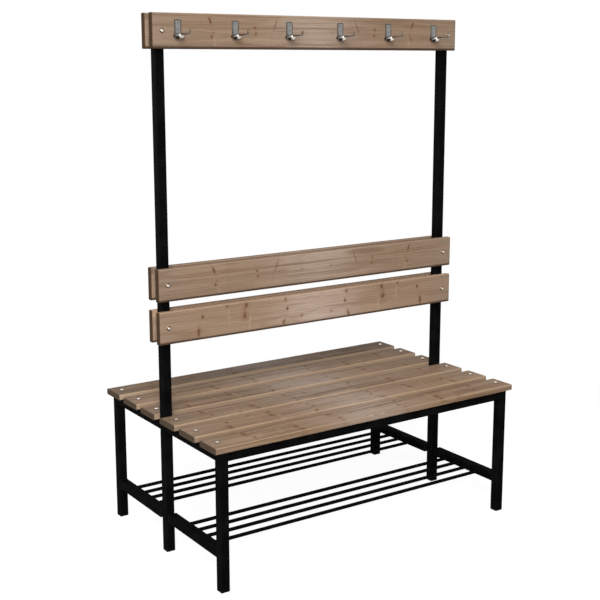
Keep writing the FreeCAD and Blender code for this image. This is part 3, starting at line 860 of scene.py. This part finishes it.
@dataclass(frozen=True, kw_only=True)
class DomePlating(RubbedMetal):
    """Plating on dome heads, with a painted highlight on the crown and painted shade towards the rim.

    Args:
        rim_shade_depth: How far below the top of the head the painted shade begins and is full, in
            millimetres.
    """

    rim_shade_depth: Fade
    # Painted highlight on the crown
    crown: Colour = paint(228, 222, 212)
    # Painted shade towards the rim
    rim: Colour = paint(104, 87, 72)
    gloss: tuple[float, float] = (0.2, 0.3)

    def material(self, name: str, box: Box, axis: int, facing: float) -> bpy.types.Material:
        """Makes the finish of a group of bolts.

        Args:
            name: The group's name.
            box: The group's box.
            axis: The axis that the bolts lie along.
            facing: 1 or -1, the way along it that the heads face.

        Returns:
            The material.
        """
        material, wiring = new_material(name + "_plating")
        point = own_point(wiring, box.middle)
        rub = self.rubbed(wiring, point)
        # Painted shade towards the rim of each head, below the painted highlight on its crown
        rim_shade_mask = wiring.by_depth(wiring.split(point)[axis], facing, box.half[axis] / MM, self.rim_shade_depth)
        self.polish(wiring, rub, wiring.mix(rim_shade_mask, self.crown, self.rim))
        return material


@dataclass(frozen=True, kw_only=True)
class HookCasting(RubbedMetal):
    """Cast metal: a grey plate with painted shade along its rim, a root with painted shade on its far side
    and in the hollow below it and a painted highlight on its near side, and an arm with painted shade along
    its top over painted light on its underside.

    Places on the casting are fades in millimetres: out from the board, up from its foot, or aslant, which is
    sideways with a share of the way out.
    """

    plate: Colour = paint(142, 142, 140)
    # Painted shade along the rim of the plate
    rim: Colour = paint(66, 65, 62)
    # Painted shade in the hollow under the plate and on the root's far side
    corner: Colour = paint(50, 48, 45)
    # Painted highlight on the root's near side
    boss_highlight: Colour = paint(250, 246, 238)
    # Painted shade along the top of the arm, over painted light on its underside
    arm_top_shade: Colour = paint(136, 124, 115)
    arm_foot_light: Colour = paint(172, 163, 156)
    tip: Colour = paint(106, 96, 87)
    plate_half_width: float = 11.0
    rim_width: Fade = (4.8, 2.2)
    # Clouds that vary the strength of the painted shade on the rim
    rim_shade_clouds: Fade = (0.35, 0.7, 0.9, 0.5)
    root_out: Fade = (4.6, 5.4)
    arm_out: Fade = (26.5, 29.0)
    slant: float = 0.68
    # Where the painted shade on the root's far side and in the hollow under it begins and is full
    far_side: Fade = (-8.5, -10.0)
    hollow_side: Fade = (-4.5, -2.5)
    hollow_rise: Fade = (9.5, 7.0)
    # Where the painted highlight on the root begins aslant, and where it gives way to the painted shade along
    # the top
    highlight_side: Fade = (9.3, 11.8)
    boss_highlight_top: Fade = (11.5, 13.5)
    # Where the painted shade along the top of the arm begins and is full
    arm_rise: Fade = (11.4, 14.4)
    tip_rise: Fade = (15.0, 18.0)
    gloss: tuple[float, float] = (0.34, 0.44)
    rubbing: Triple = (0.35, 0.35, 8.0)

    def material(self, name: str, box: Box) -> bpy.types.Material:
        """Makes the finish of one hook.

        Args:
            name: The hook's name.
            box: The hook's box.

        Returns:
            The material.
        """
        material, wiring = new_material(name + "_casting")
        point = own_point(wiring, box.middle)
        rub = self.rubbed(wiring, point)
        side, out, up = wiring.split(point)
        _, half_depth, half_height = box.half / MM
        facing = float(np.sign(box.middle[1]))
        from_board = wiring.math("MULTIPLY_ADD", out, facing, half_depth)
        rise = wiring.math("ADD", up, half_height)
        aslant = wiring.math("MULTIPLY_ADD", from_board, self.slant, wiring.times(side, -facing))

        to_side = wiring.math("SUBTRACT", self.plate_half_width, wiring.math("ABSOLUTE", side))
        to_rim = wiring.math("MINIMUM", to_side, wiring.math("SUBTRACT", half_height, up))
        # Painted shade along the top and sides of the plate, varied by clouds
        rim = wiring.times(wiring.step(to_rim, *self.rim_width), wiring.step(rub["Cloud"], *self.rim_shade_clouds))
        # Painted shade on the root's far side and in the hollow under it by the plate
        hollow = wiring.times(wiring.step(aslant, *self.hollow_side), wiring.step(rise, *self.hollow_rise))
        dark = wiring.math("MAXIMUM", wiring.step(aslant, *self.far_side), hollow)
        # Painted highlight on the root's near side, under painted shade along its top
        boss_highlight = wiring.mix(wiring.step(rise, *self.boss_highlight_top), self.boss_highlight, self.arm_top_shade)
        bright = wiring.step(aslant, *self.highlight_side)
        root = wiring.layered(self.plate, ((dark, self.corner), (bright, boss_highlight)))
        # The arm: painted light on its underside, painted shade along its top, and a darker tip
        arm = wiring.layered(self.arm_foot_light, ((wiring.step(rise, *self.arm_rise), self.arm_top_shade),
                                             (wiring.step(rise, *self.tip_rise), self.tip)))
        colour = wiring.layered(self.plate, ((rim, self.rim), (wiring.step(from_board, *self.root_out), root),
                                             (wiring.step(from_board, *self.arm_out), arm)))
        self.polish(wiring, rub, colour)
        return material


Finish = PowderCoat | MouldedPlastic | SatinMetal | DomePlating | HookCasting


@dataclass(frozen=True)
class Surface:
    """A closed surface: its points, and its faces as quads and triangles of point numbers."""

    points: np.ndarray
    quads: np.ndarray
    triangles: np.ndarray

    @classmethod
    def of_rings(cls, rings: np.ndarray, wraps: bool = False, flips: bool = False) -> "Surface":
        """Joins rings of points, each closed on itself, into a surface.

        Point (i, j) joins (i + 1, j) and (i, j + 1), counted round the ring. The first and last ring are
        closed by a fan to their mean, or joined to each other where the rings go round.

        Args:
            rings: The points as rings by points by three.
            wraps: Whether the last ring joins the first.
            flips: Whether the faces look the other way.

        Returns:
            The surface, facing outwards where the rings run anticlockwise as seen from the last one.
        """
        count, around, _ = rings.shape
        row, column = np.arange(count if wraps else count - 1)[:, None], np.arange(around)
        after, right = (row + 1) % count, (column + 1) % around
        quads = np.stack((row * around + column, row * around + right,
                          after * around + right, after * around + column), axis=-1).reshape(-1, 4)
        points, triangles = rings.reshape(-1, 3), np.empty((0, 3), int)
        if not wraps:
            last, pole = (count - 1) * around, np.full(around, len(points))
            start = np.stack((right, column, pole), axis=1)
            end = np.stack((last + column, last + right, pole + 1), axis=1)
            triangles = np.concatenate((start, end))
            points = np.concatenate((points, rings[[0, -1]].mean(axis=1)))
        order = -1 if flips else 1
        return cls(points, quads[:, ::order], triangles[:, ::order])

    @classmethod
    def joined(cls, surfaces: Iterable["Surface"]) -> "Surface":
        """Puts several surfaces into one.

        Args:
            surfaces: The surfaces.

        Returns:
            One surface with all their points and faces.
        """
        parts = list(surfaces)
        starts = np.cumsum([0] + [len(part.points) for part in parts[:-1]])
        return cls(np.concatenate([part.points for part in parts]),
                   np.concatenate([part.quads + start for part, start in zip(parts, starts)]),
                   np.concatenate([part.triangles + start for part, start in zip(parts, starts)]))

    def placed(self, axes: np.ndarray, origin: np.ndarray) -> "Surface":
        """Carries the surface to an origin, with its own X, Y and Z along the rows of the axes."""
        return replace(self, points=self.points @ axes + origin)

    def to_object(self, name: str, sharp: float = math.radians(50)) -> bpy.types.Object:
        """Makes a smooth mesh object with its place in its mesh.

        Args:
            name: The object's name.
            sharp: The angle past which an edge between faces stays sharp.

        Returns:
            The object, in the scene.
        """
        mesh = bpy.data.meshes.new(name)
        mesh.from_pydata(self.points, [], self.quads.tolist() + self.triangles.tolist())
        mesh.validate()
        mesh.polygons.foreach_set("use_smooth", np.ones(len(mesh.polygons), bool))
        mesh.set_sharp_from_angle(angle=sharp)
        piece = bpy.data.objects.new(name, mesh)
        bpy.context.scene.collection.objects.link(piece)
        return piece


def nodes_named(*starts: str) -> list[str]:
    """The names of the CAD nodes that start in one of the given ways."""
    return [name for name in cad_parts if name.startswith(starts)]


def settle(piece: bpy.types.Object, slot: str, *nodes: str) -> None:
    """Fixes a new piece to the bench.

    Args:
        piece: The piece.
        slot: Not used; the slot that its finish would come from.
        *nodes: The CAD nodes that it stands for.
    """
    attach(piece, ROOT)
    if nodes:
        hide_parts(*nodes)
    LOG.info("%s: %d points", piece.name, len(piece.data.vertices))


def dress_node(node: str, finish: Finish, *lie: float) -> None:
    """Gives a CAD node its finish.

    Args:
        node: The node's name.
        finish: The finish.
        *lie: For dome plating, the axis that the node's bolts lie along and the way that they face.
    """
    material = finish.material(node, Box.of(node), *lie)
    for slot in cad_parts[node].material_slots:
        slot.material = material
    LOG.info("%s: %s", node, material.name)


@dataclass
class TimberBoard:
    """One planed board with eased edges, as a section carried along its length.

    Args:
        node: The CAD board that it stands for.
        cut: Its layout of knots.
        lay: How it lies.
        flip: -1 where the layout is mirrored across it.
        number: Its number among the boards, which sets its own grain.
        hearts: Places of the tree's heart across and through a board from its middle, in millimetres.
    """

    node: str
    cut: Cut
    lay: Lay
    flip: float
    number: int
    edge: float = 4.0 * MM
    end_edge: float = 1.5 * MM
    edge_sway: float = 0.5 * MM
    sway_rates: tuple[float, float] = (23.0, 61.0)
    sway_shifts: tuple[float, float] = (1.0, 2.3)
    corner_steps: int = 6
    face_steps: int = 8
    length_steps: int = 96
    hearts: tuple[tuple[float, float], ...] = (
        (14.0, -46.0), (-31.0, 58.0), (38.0, -70.0), (-12.0, 64.0), (27.0, 52.0))

    @property
    def box(self) -> Box:
        """The CAD board's box."""
        return Box.of(self.node)

    @property
    def half(self) -> np.ndarray:
        """The board's half sizes along, across and through it."""
        return self.box.half[list(self.lay.value)]

    @property
    def heart(self) -> tuple[float, float]:
        """Where the heart of the board's tree is."""
        return self.hearts[self.number % len(self.hearts)]

    def section(self, half: np.ndarray, edge: np.ndarray) -> np.ndarray:
        """The board's outline at each place along it: a rectangle whose corners are quarter circles.

        A corner's point is its circle's middle plus the edge radius times (cos a, sin a), and the flats
        between two corners are divided evenly.

        Args:
            half: Half width and half thickness at each place, as places by two.
            edge: The edge radius at each place.

        Returns:
            The points as places by points by two, counted anticlockwise.
        """
        turn = np.linspace(0.0, math.pi / 2, self.corner_steps + 1)
        sides = []
        for quarter, sign in enumerate(((1, 1), (-1, 1), (-1, -1), (1, -1))):
            angle = turn + quarter * math.pi / 2
            arc = np.stack((np.cos(angle), np.sin(angle)), axis=1)
            middle = (half - edge[:, None]) * np.array(sign)
            sides.append(middle[:, None, :] + edge[:, None, None] * arc[None])
        share = np.linspace(0.0, 1.0, self.face_steps + 1)[1:-1, None]
        runs = []
        for side, following in zip(sides, sides[1:] + sides[:1]):
            runs += [side, side[:, -1:] * (1 - share) + following[:, :1] * share]
        return np.concatenate(runs, axis=1)

    def build(self) -> bpy.types.Object:
        """Builds the board: next to an end the section draws in along a smaller quarter circle.

        The edge radius sways along the board by the mean of two sine waves, and not at the ends themselves.

        Returns:
            The board.
        """
        length, *half = self.half
        ease = self.end_edge * (1 - np.cos(np.linspace(0.0, math.pi / 2, self.corner_steps + 1)))
        inner = np.linspace(-length + self.end_edge, length - self.end_edge, self.length_steps)[1:-1]
        along = np.concatenate((-length + ease, inner, length - ease[::-1]))
        depth = np.clip(length - np.abs(along), 0.0, self.end_edge)
        inset = self.end_edge - np.sqrt(self.end_edge ** 2 - (self.end_edge - depth) ** 2)
        wave = np.mean([np.sin(along * rate + shift * self.number)
                        for rate, shift in zip(self.sway_rates, self.sway_shifts)], axis=0)
        edge = self.edge - inset + self.edge_sway * wave * depth / self.end_edge
        outline = self.section(np.array(half) - inset[:, None], edge)
        x = np.broadcast_to(along[:, None, None], outline.shape[:2] + (1,))
        surface = Surface.of_rings(np.concatenate((x, outline), axis=2), flips=self.lay is Lay.UPRIGHT)
        axes = np.eye(3)[list(self.lay.value)]
        board = surface.placed(axes, self.box.middle).to_object(self.node + "_planed")
        settle(board, "timber", self.node)
        return board

    def dress(self, board: bpy.types.Object, finish: StainedSoftwood) -> None:
        """Stains the board."""
        board.data.materials.append(finish.material(self))


@dataclass
class TubeFrame:
    """The welded frame: tubes and rods from the CAD, with a rippled weld bead in each joint's corner.

    Args:
        ripple: How far a ripple sinks in, as a share of the bead's radius.
        crescent: How far a ripple is drawn back at the bead's middle, as a share of its pitch.
        end_power: How late a straight bead narrows towards its ends.
        bead_margin: What a straight bead leaves free of the tube at both ends.
    """

    bead: float = 3.5 * MM
    ripple: float = 0.13
    ripple_pitch: float = 2.2 * MM
    crescent: float = 0.45
    end_power: int = 10
    bead_margin: float = 2.0 * MM
    bead_rows: int = 66
    ring_rows: int = 84
    arc_steps: int = 7

    def quarter(self, size: np.ndarray) -> np.ndarray:
        """A bead's section: the corner itself, then a quarter circle about it from face to face.

        Args:
            size: The bead's radius at each place and point of the arc.

        Returns:
            The points as places by points by two, along the two faces.
        """
        angle = np.linspace(0.0, math.pi / 2, self.arc_steps)
        arc = size[:, :, None] * np.stack((np.cos(angle), np.sin(angle)), axis=1)[None]
        return np.concatenate((np.zeros((len(size), 1, 2)), arc), axis=1)

    def rippled(self, along: np.ndarray, pitch: float) -> np.ndarray:
        """A bead's radius: one scallop per ripple, each drawn back at the bead's middle like a crescent.

        Args:
            along: The places along the bead, in metres.
            pitch: The ripples' spacing.

        Returns:
            The radius as places by points of the arc.
        """
        bow = np.sin(np.linspace(0.0, math.pi, self.arc_steps))
        phase = along[:, None] / pitch - self.crescent * bow[None]
        return self.bead * (1 - self.ripple * np.abs(np.sin(math.pi * phase)))

    def straight_bead(self, start: np.ndarray, run: np.ndarray, first: np.ndarray,
                      second: np.ndarray) -> Surface:
        """A bead in the corner of two tube faces, drawn in to nothing at both ends.

        Args:
            start: One end of the corner.
            run: The way to its other end.
            first: The direction along one face, away from the corner.
            second: The direction along the other face.

        Returns:
            The bead.
        """
        share = np.linspace(0.0, 1.0, self.bead_rows)
        ends = np.sqrt(np.clip(1 - np.abs(2 * share - 1) ** self.end_power, 0.0, 1.0))
        size = self.rippled(share * np.linalg.norm(run), self.ripple_pitch) * ends[:, None]
        section = self.quarter(size)
        rings = start + share[:, None, None] * run + section[..., :1] * first + section[..., 1:] * second
        return Surface.of_rings(rings, flips=np.dot(np.cross(first, second), run) < 0)

    def ring_bead(self, centre: np.ndarray, axis: float, radius: float) -> Surface:
        """A bead round the end of a rod: the section goes round the rod's axis.

        Args:
            centre: The middle of the rod's end.
            axis: 1 or -1, the way along X into the rod.
            radius: The rod's radius.

        Returns:
            The bead.
        """
        turn = np.linspace(0.0, 2 * math.pi, self.ring_rows, endpoint=False)
        whole = 2 * math.pi * radius / round(2 * math.pi * radius / self.ripple_pitch)
        section = self.quarter(self.rippled(turn * radius, whole))
        out = radius + section[..., 0]
        rings = np.stack((axis * section[..., 1], out * np.cos(turn)[:, None], out * np.sin(turn)[:, None]),
                         axis=2)
        return Surface.of_rings(rings + centre, wraps=True, flips=axis < 0)

    def corner_beads(self) -> list[Surface]:
        """The straight beads: rails to posts and legs, and crossbars to legs.

        Returns:
            The beads.
        """
        x_axis, y_axis, z_axis = np.eye(3)
        beads = []
        for end in ("left", "right"):
            post = Box.of("post_" + end)
            for face, sign in (("front", -1.0), ("back", 1.0)):
                rail = Box.of("seat_cross_rail_%s_%s" % (face, end))
                bar = Box.of("rack_crossbar_%s_%s" % (face, end))
                leg = Box.of("leg_%s_%s" % (face, end))
                long_rail = Box.of("seat_long_rail_" + face)
                width = 2 * rail.half[0] - 2 * self.bead_margin
                left = post.low[0] + self.bead_margin
                post_y, leg_y = sign * post.half[1], leg.middle[1] - sign * leg.half[1]
                corners = ((post_y, rail.high[2], sign, 1), (post_y, rail.low[2], sign, -1),
                           (leg_y, rail.low[2], -sign, -1), (leg_y, bar.high[2], -sign, 1),
                           (leg_y, bar.low[2], -sign, -1))
                for y, z, out, up in corners:
                    start = np.array((left, y, z))
                    beads.append(self.straight_bead(start, width * x_axis, out * y_axis, up * z_axis))
                inward = -np.sign(leg.middle[0])
                side = leg.middle[0] + inward * leg.half[0]
                start = np.array((side, leg.low[1] + self.bead_margin, long_rail.low[2]))
                beads.append(self.straight_bead(start, width * y_axis, inward * x_axis, -z_axis))
        return beads

    def rod_beads(self) -> list[Surface]:
        """The ring beads at both ends of every rod.

        Returns:
            The beads.
        """
        rods = [Box.of(name) for name in nodes_named("rack_rod")]
        return [self.ring_bead(rod.middle + np.array((end * rod.half[0], 0.0, 0.0)), -end, rod.half[2])
                for rod in rods for end in (-1.0, 1.0)]

    def build(self) -> bpy.types.Object:
        """Builds all the weld beads as one piece.

        Returns:
            The beads.
        """
        beads = Surface.joined(self.corner_beads() + self.rod_beads()).to_object("weld_beads")
        settle(beads, "frame_coat")
        return beads

    def dress(self, beads: bpy.types.Object, finish: PowderCoat) -> None:
        """Coats the tubes, the rods and the beads.

        Args:
            beads: The weld beads.
            finish: The coat.
        """
        for name in nodes_named("post_left", "post_right", "leg_", "seat_cross", "seat_long", "rack_"):
            dress_node(name, finish)
        # A box that is larger than the beads' own keeps the worn edges off them
        whole = Box(np.zeros(3), np.full(3, 1.0))
        beads.data.materials.append(finish.material("weld_beads", whole))


@dataclass
class CoatHooks:
    """The cast hooks from the CAD, and their countersunk screws with a cross recess.

    Args:
        plate: The thickness of a hook's plate.
        drops: How far below the top of the plate its screws are.
        head: The radius of a screw's head.
        shank: The radius of its shank.
        point: The radius of a screw's end, as a share of its shank's.
        point_start: Where the shank begins to narrow, as a share of the length.
        recess_edge: Where the cross's side begins and how wide its slope is, as shares of its half width.
        recess_slope: How long the slope at the end of the cross is, as a share of its reach.
    """

    plate: float = 4.5 * MM
    drops: tuple[float, float] = (11.0 * MM, 29.0 * MM)
    head: float = 4.0 * MM
    shank: float = 2.0 * MM
    length: float = 18.5 * MM
    point: float = 0.3
    point_start: float = 0.8
    recess_depth: float = 1.4 * MM
    recess_half_width: float = 0.55 * MM
    recess_edge: tuple[float, float] = (1.3, 0.6)
    recess_reach: float = 2.3 * MM
    recess_slope: float = 0.3
    crown: float = 0.12 * MM
    around: int = 64
    head_rings: int = 18
    inmost_ring: float = 0.02
    sharp: float = math.radians(30)

    def screw(self) -> Surface:
        """A screw along -Z from the flat of its head: a turned profile, with a cross sunk into the head.

        The head's height at (x, y) is a shallow crown less the recess depth where the smaller of |x| and |y|
        is under the cross's half width and the larger under its reach, each with a soft edge.

        Returns:
            The screw.
        """
        turn = np.linspace(0.0, 2 * math.pi, self.around, endpoint=False)
        face = np.linspace(self.inmost_ring, 1.0, self.head_rings) * self.head
        radius = np.concatenate((face, (self.shank, self.shank, self.shank * self.point)))[:, None]
        x, y = radius * np.cos(turn), radius * np.sin(turn)
        small, large = np.minimum(np.abs(x), np.abs(y)), np.maximum(np.abs(x), np.abs(y))
        edge, slope = np.multiply(self.recess_edge, self.recess_half_width)
        across = np.clip((edge - small) / slope, 0.0, 1.0)
        reach = np.clip((self.recess_reach - large) / (self.recess_reach * self.recess_slope), 0.0, 1.0)
        z = -self.crown * (radius / self.head) ** 2 - self.recess_depth * across * reach
        below = (self.head - self.shank, self.length * self.point_start, self.length)
        z[self.head_rings:] = -np.array(below)[:, None]
        return Surface.of_rings(np.stack((x, y, z), axis=2)[::-1])

    def build(self) -> bpy.types.Object:
        """Builds every hook's two screws as one piece.

        Returns:
            The screws.
        """
        screw = self.screw()
        x_axis, y_axis, z_axis = np.eye(3)
        screws = []
        for hook in map(Box.of, nodes_named("coat_hook")):
            side = np.sign(hook.middle[1])
            seat = hook.middle[1] - side * hook.half[1] + side * self.plate
            axes = np.stack((-side * x_axis, z_axis, side * y_axis))
            screws += [screw.placed(axes, np.array((hook.middle[0], seat, hook.high[2] - drop)))
                       for drop in self.drops]
        piece = Surface.joined(screws).to_object("hook_screws_crossed", self.sharp)
        settle(piece, "fastener_metal", "hook_screws")
        return piece

    def dress(self, screws: bpy.types.Object, casting: HookCasting, plating: SatinMetal) -> None:
        """Finishes the hooks and their screws.

        Args:
            screws: The screws.
            casting: The hooks' finish.
            plating: The screws' finish.
        """
        for name in nodes_named("coat_hook"):
            dress_node(name, casting)
        screws.data.materials.append(plating.material("hook_screws", Box.of("hook_screws")))


@dataclass
class SmallParts:
    """Bolts, nuts and plugs from the CAD. A bolt's axis and the way that its heads face stand by its name."""

    seat_bolts: tuple[str, int, float] = ("seat_bolts", 2, 1.0)
    board_bolts: tuple[str, int, float] = ("board_bolts", 1, -1.0)
    sleeve_nuts: tuple[str, int, float] = ("board_sleeve_nuts", 1, 1.0)
    nuts: str = "seat_nuts"
    plugs: tuple[str, ...] = ("foot_plugs", "post_caps", "crossbar_end_plugs")

    def dress(self, seat_bolt_domes: DomePlating, board_bolt_domes: DomePlating, plating: SatinMetal,
              moulding: MouldedPlastic) -> None:
        """Finishes the fasteners and the plugs.

        Args:
            seat_bolt_domes: The finish of the bolts in the seat.
            board_bolt_domes: The finish of the bolts and sleeve nuts in the boards.
            plating: The nuts' finish.
            moulding: The plugs' finish.
        """
        for finish, (name, *lie) in ((seat_bolt_domes, self.seat_bolts), (board_bolt_domes, self.board_bolts),
                                     (board_bolt_domes, self.sleeve_nuts)):
            dress_node(name, finish, *lie)
        dress_node(self.nuts, plating)
        for name in self.plugs:
            dress_node(name, moulding)


@dataclass(frozen=True)
class Softbox:
    """A square lamp: its place, what it faces, its side in metres and its power in watts."""

    name: str
    place: Triple
    target: Triple
    side: float
    power: float

    def build(self) -> None:
        """Hangs the lamp, facing its target."""
        lamp = bpy.data.lights.new(self.name, "AREA")
        lamp.shape, lamp.size, lamp.energy = "SQUARE", self.side, self.power
        holder = bpy.data.objects.new(self.name, lamp)
        x, y, z = np.subtract(self.target, self.place)
        holder.location = self.place
        holder.rotation_euler = (math.pi / 2 + math.atan2(z, math.hypot(x, y)), 0.0, math.atan2(-x, y))
        bpy.context.scene.collection.objects.link(holder)


@dataclass
class Studio:
    """The plain pale floor, soft lamps, white background and the photograph's camera.

    The focal length and the middle are in picture points, the turn and the tilt in degrees.
    """

    floor_half: float = 14.0
    floor_colour: Colour = (0.22, 0.22, 0.22, 1.0)
    floor_lift: float = 0.9
    shadow_reach: Fade = (0.9, 2.3)
    ambient: float = 0.25
    lamps: tuple[Softbox, ...] = (
        Softbox("key", (-5.41, -7.19, 7.44), (0.0, 0.0, 0.9), 6.2, 970.0),
        Softbox("front", (-4.6, -7.2, 2.4), (0.0, 0.0, 0.9), 3.0, 260.0),
        Softbox("back", (-4.6, 7.2, 1.4), (0.0, 0.0, 0.9), 2.6, 300.0),
    )
    picture_width: float = 600.0
    focal_length: float = 1127.02
    picture_middle: tuple[float, float] = (305.44, 278.22)
    eye: Triple = (-2.1548, -3.1330, 1.5852)
    turn: float = -34.24
    tilt: float = -10.93
    sensor: float = 36.0

    def seen(self, wiring: Wiring) -> Socket:
        """Adds 1 for what the camera, a gloss or a glass shows and 0 for what only lights the bench.

        Args:
            wiring: The wiring of the floor or of the background.

        Returns:
            The 1 or 0.
        """
        path = wiring.node("ShaderNodeLightPath").outputs
        shown = wiring.math("ADD", path["Is Camera Ray"], path["Is Glossy Ray"])
        shown = wiring.math("ADD", shown, path["Is Transmission Ray"])
        return wiring.math("MINIMUM", shown, 1.0)

    def build_floor(self) -> None:
        """Lays the floor, which keeps the bench's shadow near it and is plain white farther out."""
        reach = self.floor_half
        corners = [(-reach, -reach, 0), (reach, -reach, 0), (reach, reach, 0), (-reach, reach, 0)]
        mesh = bpy.data.meshes.new("floor")
        mesh.from_pydata(corners, [], [(0, 1, 2, 3)])
        floor = bpy.data.objects.new("floor", mesh)
        bpy.context.scene.collection.objects.link(floor)
        material, wiring = new_material("floor")
        seen = self.seen(wiring)
        matt = wiring.out("ShaderNodeBsdfDiffuse", {"Color": self.floor_colour})
        lift = wiring.out("ShaderNodeEmission", {"Strength": wiring.times(seen, self.floor_lift)})
        lit = wiring.out("ShaderNodeAddShader", {0: matt, 1: lift})
        white = wiring.out("ShaderNodeEmission", {"Strength": 1.0})
        away = wiring.length(wiring.node("ShaderNodeTexCoord").outputs["Object"])
        far = wiring.times(seen, wiring.step(away, *self.shadow_reach))
        shown = wiring.out("ShaderNodeMixShader", {0: far, 1: lit, 2: white})
        wiring.node("ShaderNodeOutputMaterial", {"Surface": shown})
        mesh.materials.append(material)

    def build_background(self) -> None:
        """Makes the world white where it is seen, and a weak even light elsewhere."""
        world = bpy.data.worlds.new("background")
        world.use_nodes = True
        world.node_tree.nodes.clear()
        wiring = Wiring(world.node_tree)
        strength = wiring.math("MULTIPLY_ADD", self.seen(wiring), 1.0 - self.ambient, self.ambient)
        sky = wiring.out("ShaderNodeBackground", {"Color": (1.0, 1.0, 1.0, 1.0), "Strength": strength})
        wiring.node("ShaderNodeOutputWorld", {"Surface": sky})
        bpy.context.scene.world = world

    def build_camera(self) -> None:
        """Sets up the camera."""
        lens = bpy.data.cameras.new("camera")
        lens.sensor_width = self.sensor
        lens.lens = self.sensor * self.focal_length / self.picture_width
        middle_x, middle_y = self.picture_middle
        lens.shift_x = 0.5 - middle_x / self.picture_width
        lens.shift_y = middle_y / self.picture_width - 0.5
        camera = bpy.data.objects.new("camera", lens)
        camera.location = self.eye
        camera.rotation_euler = (math.radians(90 + self.tilt), 0.0, math.radians(self.turn))
        bpy.context.scene.collection.objects.link(camera)
        bpy.context.scene.camera = camera

    def build(self) -> None:
        """Sets up the floor, the background, the lamps and the camera."""
        self.build_floor()
        self.build_background()
        for lamp in self.lamps:
            lamp.build()
        self.build_camera()
        bpy.context.scene.view_settings.view_transform = "Standard"


def timber_boards() -> list[TimberBoard]:
    """Lists the bench's boards. The layout is mirrored on every other slat and on the boards of the back.

    Returns:
        The boards.
    """
    boards = [("seat_slat_%d" % slat, Cut.KNOTTY, Lay.FLAT, -1.0 if slat % 2 else 1.0)
              for slat in range(1, len(SLAT_SHADING) + 1)]
    for face, flip in (("front", 1.0), ("back", -1.0)):
        boards += [("backrest_lower_" + face, Cut.KNOTTY, Lay.UPRIGHT, flip),
                   ("backrest_upper_" + face, Cut.STREAKED, Lay.UPRIGHT, flip),
                   ("hook_board_" + face, Cut.STREAKED, Lay.UPRIGHT, flip)]
    return [TimberBoard(*board, number) for number, board in enumerate(boards)]


def board_stains() -> dict[str, StainedSoftwood]:
    """Mixes the boards' stains.

    Returns:
        The stains by the start of the boards' names.
    """
    # The fourth colour of each stain is the painted reflection of a lamp. The lower boards get painted light
    # on their tops, the slats a painted highlight along their eased edges, and their end colour is darker end
    # grain, darkened further as painted shade.
    upper = StainedSoftwood()
    lower = StainedSoftwood(paint(163, 137, 114), paint(135, 108, 86), paint(183, 157, 134),
                            paint(200, 179, 164), painted_crest_shading=paint(190, 157, 130), painted_crest_shading_share=0.85)
    slat = StainedSoftwood(paint(162, 134, 108), paint(125, 98, 74), paint(185, 157, 129),
                           paint(193, 174, 160), edge=paint(208, 178, 148), end=paint(77, 64, 53),
                           banding=0.85, knot_growth=1.15, knot_depth=0.95)
    # Each slat's stain carries its own painted shade and painted light
    slats = {"seat_slat_%d" % number: slat.with_painted_shading(*tone) for number, tone in enumerate(SLAT_SHADING, start=1)}
    return {"hook_board": upper, "backrest_upper": upper, "backrest_lower": lower, **slats}


def main() -> None:
    """Builds and dresses the bench's sub-assemblies in order, then the studio."""
    logging.basicConfig(level=logging.INFO, format="%(message)s")
    stains = board_stains()
    for board in timber_boards():
        stain = next(stain for start, stain in stains.items() if board.node.startswith(start))
        board.dress(board.build(), stain)

    tubes = TubeFrame()
    tubes.dress(tubes.build(), PowderCoat())

    blacked = SatinMetal(bright=paint(144, 143, 140), tarnish=paint(126, 125, 122), gloss=(0.38, 0.5))
    hooks = CoatHooks()
    hooks.dress(hooks.build(), HookCasting(), blacked)

    plating = SatinMetal(bright=paint(196, 193, 187), tarnish=paint(168, 165, 159), gloss=(0.16, 0.26))
    # Dome heads with a painted highlight on the crown and painted shade towards the rim
    seat_bolt_domes = DomePlating(rim_shade_depth=(1.2, 2.4), crown=paint(250, 246, 240))
    board_bolt_domes = DomePlating(rim_shade_depth=(0.4, 1.3))
    SmallParts().dress(seat_bolt_domes, board_bolt_domes, plating, MouldedPlastic())
    Studio().build()


if __name__ == "__main__":
    main()
